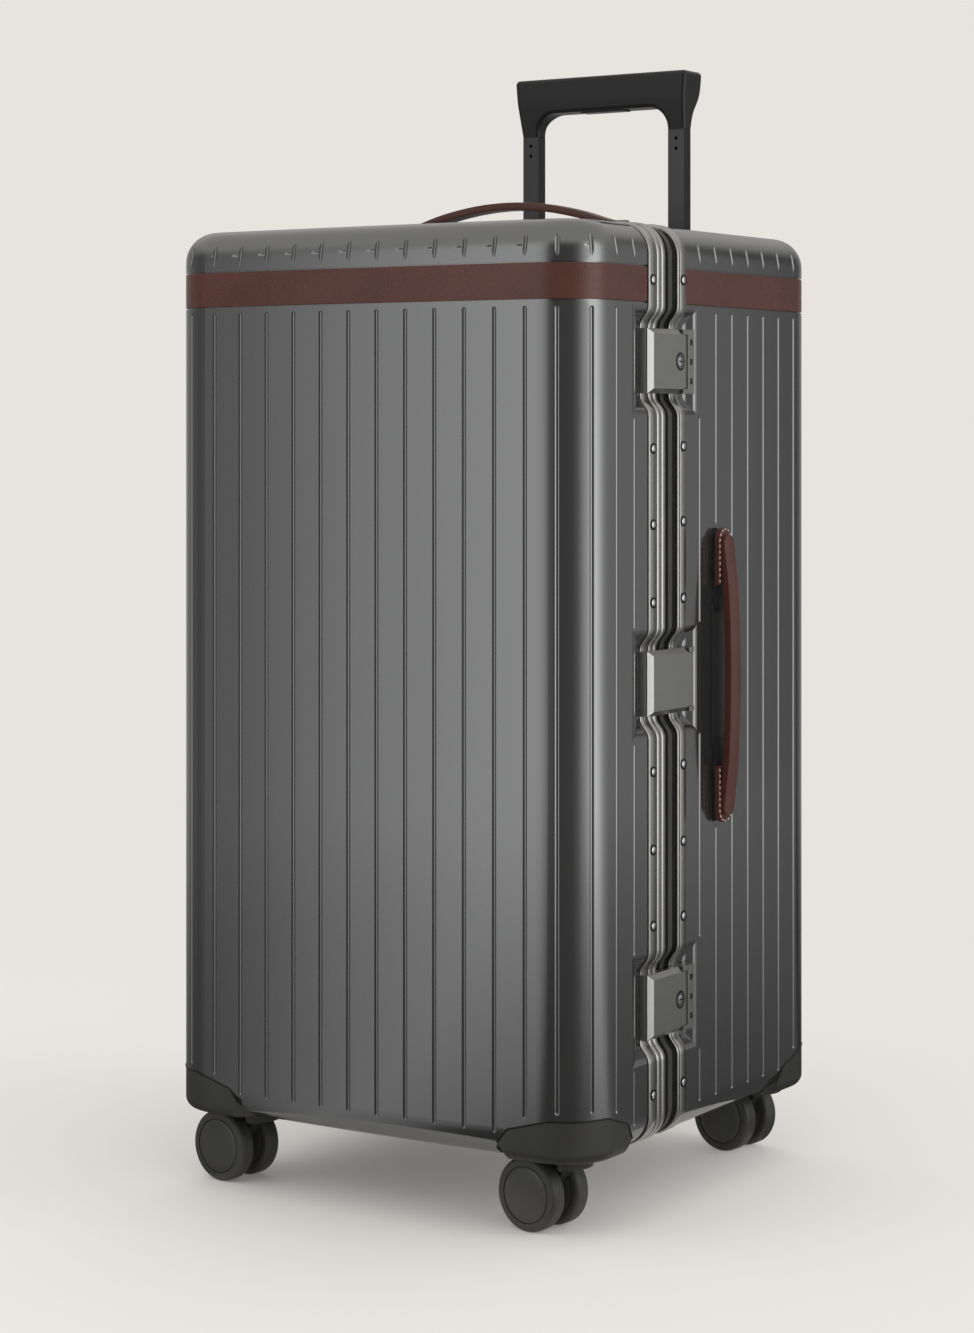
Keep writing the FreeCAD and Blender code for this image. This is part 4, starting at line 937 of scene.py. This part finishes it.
# A row of stitches down one side of a tab, round its tip and back
def makeStitches(name, sign, master):
    radius = handleLook["tabWidth"] / 2 - handleLook["stitchInset"]
    straight = handleLook["tabLength"] - handleLook["tabWidth"] / 2 - handleLook["stitchInset"]
    total = 2 * straight + math.pi * radius
    count = int(total / handleLook["stitchPitch"])
    middle = handleLook["reach"] - handleLook["tabWidth"] / 2
    height = handleLook["tabLow"] + handleLook["tabThick"] + handleLook["stitchLift"]
    stitches = []
    for k in range(count):
        s = total * (k + 0.5) / count
        if s < straight:
            place, turn = Vector((middle - straight + s, -radius, height)), 0.0
        elif s < straight + math.pi * radius:
            turn = (s - straight) / radius
            place = Vector((middle + radius * math.sin(turn), -radius * math.cos(turn), height))
        else:
            place, turn = Vector((middle - (s - straight - math.pi * radius), radius, height)), math.pi
        place.x *= sign
        lean = Matrix.Rotation(sign * (turn + handleLook["stitchLean"]), 4, "Z")
        stitches.append(copyOf(master, name + str(k), Matrix.Translation(place) @ lean))
    return stitches


def makeHandle(stem, node, arch, span, placing):
    strap = makeStrap(stem + "Strap", arch, span)
    tabs = [makeTab(stem + "TabLow", 1), makeTab(stem + "TabHigh", -1)]
    stitch = makeStitch()
    stitches = joined(stem + "Stitches", makeStitches(stem + "Lower", 1, stitch) +
                      makeStitches(stem + "Upper", -1, stitch))
    bpy.data.objects.remove(stitch)
    tabs = joined(stem + "Tabs", tabs)
    for piece, look in ((strap, "leather"), (tabs, "leather"), (stitches, "thread")):
        piece.data.transform(placing)
        dress(piece, "base", [], [finishes[look]])
    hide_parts(node)


for stem, look in handles.items():
    placing = Matrix.Translation(look["place"]) @ Matrix.Rotation(math.radians(look["turn"]), 4, "Y")
    makeHandle(stem, look["node"], look["arch"], look["span"], placing)
print("handles done")


# Linings: cloth trays with soft edges
liningLook = {"edge": (0.0006, 2)}
for node, name in (("base_lining", "baseLining"), ("lid_lining", "lidLining")):
    roundedCopy(node, name, *liningLook["edge"])
print("linings done")


# 1 for the named kinds of ray and 0 for all others
def raySwitch(tree, *labels):
    rays = addNode(tree, "ShaderNodeLightPath")
    total = rays.outputs[labels[0]]
    for label in labels[1:]:
        total = combine(tree, "MAXIMUM", total, rays.outputs[label])
    return total


def mixShader(tree, factor, first, second):
    blend = addNode(tree, "ShaderNodeMixShader")
    for index, source in enumerate((factor, first, second)):
        wire(tree, source, blend.inputs[index])
    return blend.outputs[0]


# Studio: pale floor, plain world, soft lamps, camera at the photographed angle
studio = {
    "background": (0.80, 0.775, 0.745, 1), "ambient": (1.0, 0.99, 0.98, 1), "fill": 0.95,
    "floorRadius": 7.0, "floorColor": (0.82, 0.8, 0.77, 1), "floorRough": 0.9, "floorShine": 0.1,
    # shadowCentre and shadowLift place the painted light that lightens the floor shadows
    "shadowCentre": (-0.3, -0.2, 0), "fadeNear": 0.2, "fadeFar": 1.5, "shadowLift": 0.1,
    "lampAim": (0, 0, 0.42),
    "cameraPlace": (1.388, -2.1793, 0.6263), "cameraTurn": 32.73,
    "lens": 82.74, "sensor": 36, "shiftY": -0.18203, "clipEnd": 60,
}
lamps = {
    "frontSoftbox": {"azimuth": -32, "distance": 2.6, "height": 1.5, "width": 1.2, "tall": 1.8, "power": 8},
    "rightSoftbox": {"azimuth": 100, "distance": 2.4, "height": 1.2, "width": 1.0, "tall": 1.9, "power": 12},
    "topSoftbox": {"azimuth": 20, "distance": 2.2, "height": 2.8, "width": 2.4, "tall": 2.4, "power": 10},
}


# The floor takes shadows near the case and fades into the plain background further out. Its glow to the camera and
# in reflections also lightens those shadows, least round a point left of and in front of the case's middle: painted
# light
def makeFloor():
    bpy.ops.mesh.primitive_circle_add(vertices=128, radius=studio["floorRadius"], fill_type="NGON")
    floor = bpy.context.object
    floor.name = "studioFloor"
    look = bpy.data.materials.new("floorPaper")
    look.use_nodes = True
    tree = look.node_tree
    paper = tree.nodes["Principled BSDF"]
    paper.inputs["Base Color"].default_value = studio["floorColor"]
    paper.inputs["Roughness"].default_value = studio["floorRough"]
    paper.inputs["Specular IOR Level"].default_value = studio["floorShine"]
    far = addNode(tree, "ShaderNodeEmission", in_Color=studio["background"])
    place = addNode(tree, "ShaderNodeTexCoord")
    reach = addNode(tree, "ShaderNodeVectorMath", operation="DISTANCE")
    wire(tree, place.outputs["Object"], reach.inputs[0])
    wire(tree, studio["shadowCentre"], reach.inputs[1])
    fade = mapRange(tree, reach.outputs["Value"], studio["shadowLift"], 1.0, interpolation_type="SMOOTHSTEP",
                    in_From_Min=studio["fadeNear"], in_From_Max=studio["fadeFar"])
    both = combine(tree, "MULTIPLY", fade, raySwitch(tree, "Is Camera Ray", "Is Glossy Ray"))
    surface = mixShader(tree, both, paper.outputs[0], far.outputs[0])
    wire(tree, surface, tree.nodes["Material Output"].inputs["Surface"])
    floor.data.materials.append(look)


# The world shows the plain background to the camera and in reflections, and lights with its own tone
def makeWorld():
    world = bpy.data.worlds.new("studioWorld")
    bpy.context.scene.world = world
    world.use_nodes = True
    tree = world.node_tree
    sky = tree.nodes["Background"]
    sky.inputs["Color"].default_value = studio["background"]
    ambient = addNode(tree, "ShaderNodeBackground", in_Color=studio["ambient"], in_Strength=studio["fill"])
    seen = raySwitch(tree, "Is Camera Ray", "Is Glossy Ray", "Is Transmission Ray")
    surface = mixShader(tree, seen, ambient.outputs[0], sky.outputs[0])
    wire(tree, surface, tree.nodes["World Output"].inputs["Surface"])


def softLamp(name, azimuth, distance, height, width, tall, power):
    turn = math.radians(azimuth)
    where = Vector((distance * math.sin(turn), -distance * math.cos(turn), height))
    bpy.ops.object.light_add(type="AREA", location=where)
    lamp = bpy.context.object
    lamp.name = name
    lamp.data.shape = "RECTANGLE"
    lamp.data.size = width
    lamp.data.size_y = tall
    lamp.data.energy = power
    lamp.visible_glossy = False
    lamp.rotation_euler = (Vector(studio["lampAim"]) - where).to_track_quat("-Z", "Y").to_euler()


# A ring of glowing grey cards that only reflections see, painted reflections: bright towards the soft lamps, dark
# behind the camera.
# Levels are by azimuth in degrees; near is the share of them that is left on the floor beside the case, a painted
# shade of that floor in reflections, and turnFrom and turnTo are the azimuths, as shares of the ring, where its
# front value gives way to its right one.
cards = {
    "sides": 96, "radius": 3.4, "low": 0.004, "high": 3.2, "inner": 0.24, "fullFrom": 0.8,
    "nearFront": 0.4, "nearRight": 0.12, "turnFrom": 0.61, "turnTo": 0.69, "fadeLow": 1.4, "fadeHigh": 3.2,
    "levels": ((-180, 0.4), (-100, 0.4), (-65, 0.2), (-55, 0.17), (-46, 0.28), (-41, 0.4), (-33, 0.88),
               (-22, 1.38), (-10, 1.1), (-2, 0.7), (5, 0.2), (12, 0.08), (47, 0.12), (57, 0.32), (67, 0.9),
               (79, 2.5), (95, 2.6), (109, 1.05), (120, 0.62), (147, 0.46), (150, 0.3), (152, 0.14),
               (155, 0.06), (165, 0.25), (180, 0.4)),
}


def makeCardRing():
    bpy.ops.mesh.primitive_cylinder_add(
        vertices=cards["sides"], radius=cards["radius"], depth=cards["high"] - cards["low"],
        end_fill_type="NOTHING", location=(0, 0, (cards["low"] + cards["high"]) / 2))
    ring = bpy.context.object
    ring.name = "cardRing"
    settle(ring)
    enterEdit(ring)
    bpy.ops.mesh.select_all(action="SELECT")
    bpy.ops.mesh.flip_normals()
    bpy.ops.mesh.select_mode(type="EDGE")
    pickEdges(ring, lambda edge: max(vert.co.z for vert in edge.verts) < cards["high"] / 2)
    bpy.ops.mesh.extrude_edges_move()
    inward = cards["inner"] / cards["radius"]
    bpy.ops.transform.resize(value=(inward, inward, 1), center_override=(0, 0, cards["low"]))
    leaveEdit()
    ring.visible_camera = False
    ring.visible_diffuse = False
    ring.visible_shadow = False
    return ring


def cardReflectionGlow():
    look = bpy.data.materials.new("cardReflectionGlow")
    look.use_nodes = True
    tree = look.node_tree
    tree.nodes.remove(tree.nodes["Principled BSDF"])
    place = addNode(tree, "ShaderNodeTexCoord")
    split = addNode(tree, "ShaderNodeSeparateXYZ")
    wire(tree, place.outputs["Object"], split.inputs[0])
    forward = combine(tree, "MULTIPLY", split.outputs["Y"], -1.0)
    angle = combine(tree, "ARCTAN2", split.outputs["X"], forward)
    along = mapRange(tree, angle, 0.0, 1.0, in_From_Min=-math.pi, in_From_Max=math.pi)
    ramp = addNode(tree, "ShaderNodeValToRGB")
    wire(tree, along, ramp.inputs["Fac"])
    stops = ramp.color_ramp.elements
    while len(stops) > 1:
        stops.remove(stops[-1])
    for index, (degrees, level) in enumerate(cards["levels"]):
        position = (degrees + 180) / 360
        stop = stops[0] if index == 0 else stops.new(position)
        stop.position = position
        stop.color = grey(level)
    flatPlace = addNode(tree, "ShaderNodeCombineXYZ")
    wire(tree, split.outputs["X"], flatPlace.inputs[0])
    wire(tree, split.outputs["Y"], flatPlace.inputs[1])
    away = addNode(tree, "ShaderNodeVectorMath", operation="LENGTH")
    wire(tree, flatPlace.outputs[0], away.inputs[0])
    near = mapRange(tree, along, cards["nearFront"], cards["nearRight"],
                    in_From_Min=cards["turnFrom"], in_From_Max=cards["turnTo"])
    dimming = mapRange(tree, away.outputs["Value"], near, 1.0,
                       in_From_Min=cards["inner"], in_From_Max=cards["radius"] * cards["fullFrom"])
    upward = mapRange(tree, split.outputs["Z"], 0.0, 1.0, interpolation_type="SMOOTHSTEP",
                      in_From_Min=cards["fadeLow"], in_From_Max=cards["fadeHigh"])
    toSky = addNode(tree, "ShaderNodeMix", data_type="RGBA")
    wire(tree, upward, toSky.inputs["Factor"])
    wire(tree, ramp.outputs["Color"], toSky.inputs[6])
    wire(tree, studio["background"], toSky.inputs[7])
    glow = addNode(tree, "ShaderNodeEmission")
    wire(tree, toSky.outputs[2], glow.inputs["Color"])
    wire(tree, dimming, glow.inputs["Strength"])
    wire(tree, glow.outputs[0], tree.nodes["Material Output"].inputs["Surface"])
    return look


makeFloor()
makeWorld()
for name, look in lamps.items():
    softLamp(name, **look)
cardRing = makeCardRing()
cardRing.data.materials.append(cardReflectionGlow())

bpy.ops.object.camera_add(location=studio["cameraPlace"],
                          rotation=(math.pi / 2, 0, math.radians(studio["cameraTurn"])))
camera = bpy.context.object
camera.data.lens = studio["lens"]
camera.data.sensor_width = studio["sensor"]
camera.data.shift_y = studio["shiftY"]
camera.data.clip_end = studio["clipEnd"]
bpy.context.scene.camera = camera
bpy.context.scene.view_settings.view_transform = "Standard"
print("studio and camera set")
